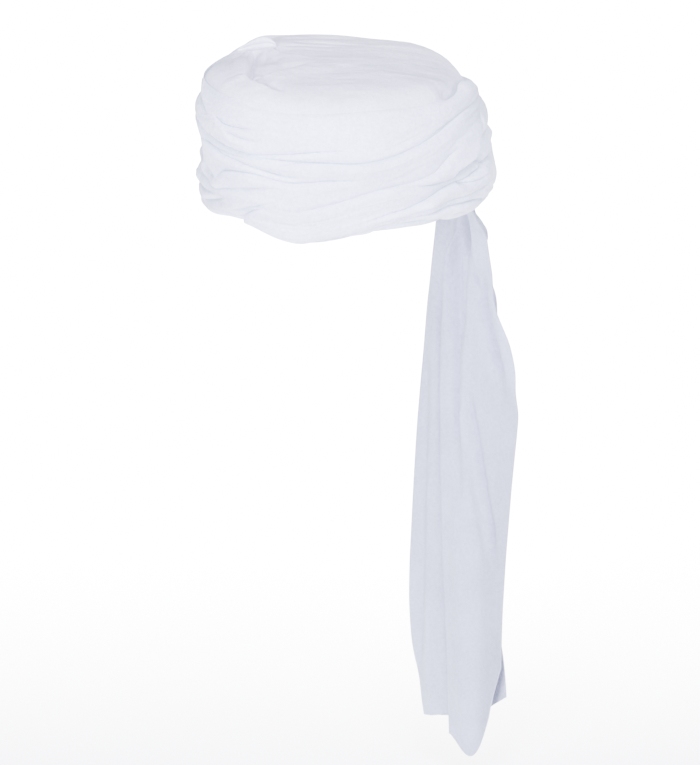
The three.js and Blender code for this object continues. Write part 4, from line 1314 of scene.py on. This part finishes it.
# The soft lamps: heading and height over the horizon in degrees, size, and the name of the
# power that each is given.
Lamp = namedtuple("Lamp", "name heading height size power")
LAMPS = (
    Lamp("key", 24, 11, 0.6, "key_power"),
    Lamp("top", 52, 52, 0.8, "top_power"),
    Lamp("fill", 96, 24, 1.0, "fill_power"),
)

# The lamp that lights the floor behind the turban.
FLOOR_LIGHT_BEHIND = 2.0
FLOOR_LIGHT_HEIGHT = 3.2
FLOOR_LIGHT_CONE = math.radians(70)
FLOOR_LIGHT_EDGE = 0.5
FLOOR_LIGHT_RADIUS = 0.3


def aim(obj, target):
    """Points an object's -Z at a place."""
    obj.rotation_euler = (Vector(target) - obj.location).to_track_quat("-Z", "Y").to_euler()


def toward(azimuth, elevation):
    """The way to a heading and a height over the horizon, both in radians."""
    level = math.cos(elevation)
    return Vector((math.sin(azimuth) * level, -math.cos(azimuth) * level, math.sin(elevation)))


def set_in_scene(data, place):
    """A new object for a lamp or a camera, at a place."""
    holder = bpy.data.objects.new(data.name, data)
    bpy.context.scene.collection.objects.link(holder)
    holder.location = place
    return holder


class TURBAN_OT_stage(bpy.types.Operator):
    """Set the floor, the lights and the camera"""

    bl_idname = "turban.stage"
    bl_label = "Set Stage"

    def execute(self, context):
        low = CAD_BOX[0][2] - FLOOR_CLEARANCE
        self.set_floor(low)
        self.set_lights(context.scene, low)
        self.set_camera(context.scene)
        return {"FINISHED"}

    def set_floor(self, low):
        """A wide pale floor."""
        corner = FLOOR_SIZE / 2
        points = [(x * corner, y * corner, low) for x, y in ((-1, -1), (1, -1), (1, 1), (-1, 1))]
        floor = make_mesh("floor", np.array(points), [(0, 1, 2, 3)])
        floor.data.materials.append(floor_material())

    def set_lights(self, scene, low):
        """The light all round, the soft lamps and the lamp over the floor behind."""
        stage = scene.turban_stage
        world = bpy.data.worlds.new("studio")
        world.use_nodes = True
        sky = world.node_tree.nodes["Background"]
        sky.inputs["Color"].default_value = (*COOL_LIGHT, 1)
        sky.inputs["Strength"].default_value = stage.sky
        scene.world = world
        for row in LAMPS:
            data = bpy.data.lights.new(row.name, "AREA")
            data.shape = "SQUARE"
            data.size = row.size
            data.energy = getattr(stage, row.power)
            data.color = COOL_LIGHT
            way = toward(math.radians(row.heading), math.radians(row.height))
            aim(set_in_scene(data, LIGHT_DISTANCE * way), (0, 0, 0))
        data = bpy.data.lights.new("floor_light", "SPOT")
        data.energy = stage.floor_power
        data.spot_size = FLOOR_LIGHT_CONE
        data.spot_blend = FLOOR_LIGHT_EDGE
        data.shadow_soft_size = FLOOR_LIGHT_RADIUS
        away = -FLOOR_LIGHT_BEHIND * toward(stage.azimuth, 0)
        set_in_scene(data, away + Vector((0, 0, low + FLOOR_LIGHT_HEIGHT)))

    def set_camera(self, scene):
        """The camera, with the head opening where it falls in the picture."""
        stage = scene.turban_stage
        back = toward(stage.azimuth, stage.elevation)
        right = Vector((math.cos(stage.azimuth), math.sin(stage.azimuth), 0))
        aside = (ORIGIN_IN_PICTURE[0] - PICTURE[0] / 2) * stage.pixel
        above = (PICTURE[1] / 2 - ORIGIN_IN_PICTURE[1]) * stage.pixel
        middle = -aside * right - above * back.cross(right)
        data = bpy.data.cameras.new("camera")
        data.sensor_fit = "HORIZONTAL"
        data.sensor_width = SENSOR
        data.lens = SENSOR * stage.distance / (PICTURE[0] * stage.pixel)
        data.clip_end = CLIP_END
        scene.camera = set_in_scene(data, middle + back * stage.distance)
        aim(scene.camera, middle)


class TURBAN_PT_panel(bpy.types.Panel):
    """The turban's sizes and builders"""

    bl_idname = "TURBAN_PT_panel"
    bl_label = "Wound Turban"
    bl_space_type = "VIEW_3D"
    bl_region_type = "UI"
    bl_category = "Turban"

    def draw(self, context):
        for name in GROUPS:
            group = getattr(context.scene, name)
            box = self.layout.box()
            for key in group.__annotations__:
                box.prop(group, key)
        for operator in OPERATORS:
            self.layout.operator(operator.bl_idname)


GROUPS = {
    "turban_winding": WindingSizes,
    "turban_crown": CrownSizes,
    "turban_tail": TailSizes,
    "turban_stage": StageSizes,
}
OPERATORS = (TURBAN_OT_stage, TURBAN_OT_winding, TURBAN_OT_crown, TURBAN_OT_knot, TURBAN_OT_tail)


def register():
    """Registers the sizes, the operators and the panel."""
    for name, group in GROUPS.items():
        bpy.utils.register_class(group)
        setattr(bpy.types.Scene, name, bpy.props.PointerProperty(type=group))
    for part in (*OPERATORS, TURBAN_PT_panel):
        bpy.utils.register_class(part)


def unregister():
    """Takes them away again."""
    for part in reversed((*OPERATORS, TURBAN_PT_panel)):
        bpy.utils.unregister_class(part)
    for name, group in reversed(list(GROUPS.items())):
        delattr(bpy.types.Scene, name)
        bpy.utils.unregister_class(group)


def main():
    """Builds every piece in order."""
    register()
    bpy.ops.turban.stage()
    bpy.ops.turban.winding()
    bpy.ops.turban.crown()
    bpy.ops.turban.knot()
    bpy.ops.turban.tail()


if __name__ == "__main__":
    main()
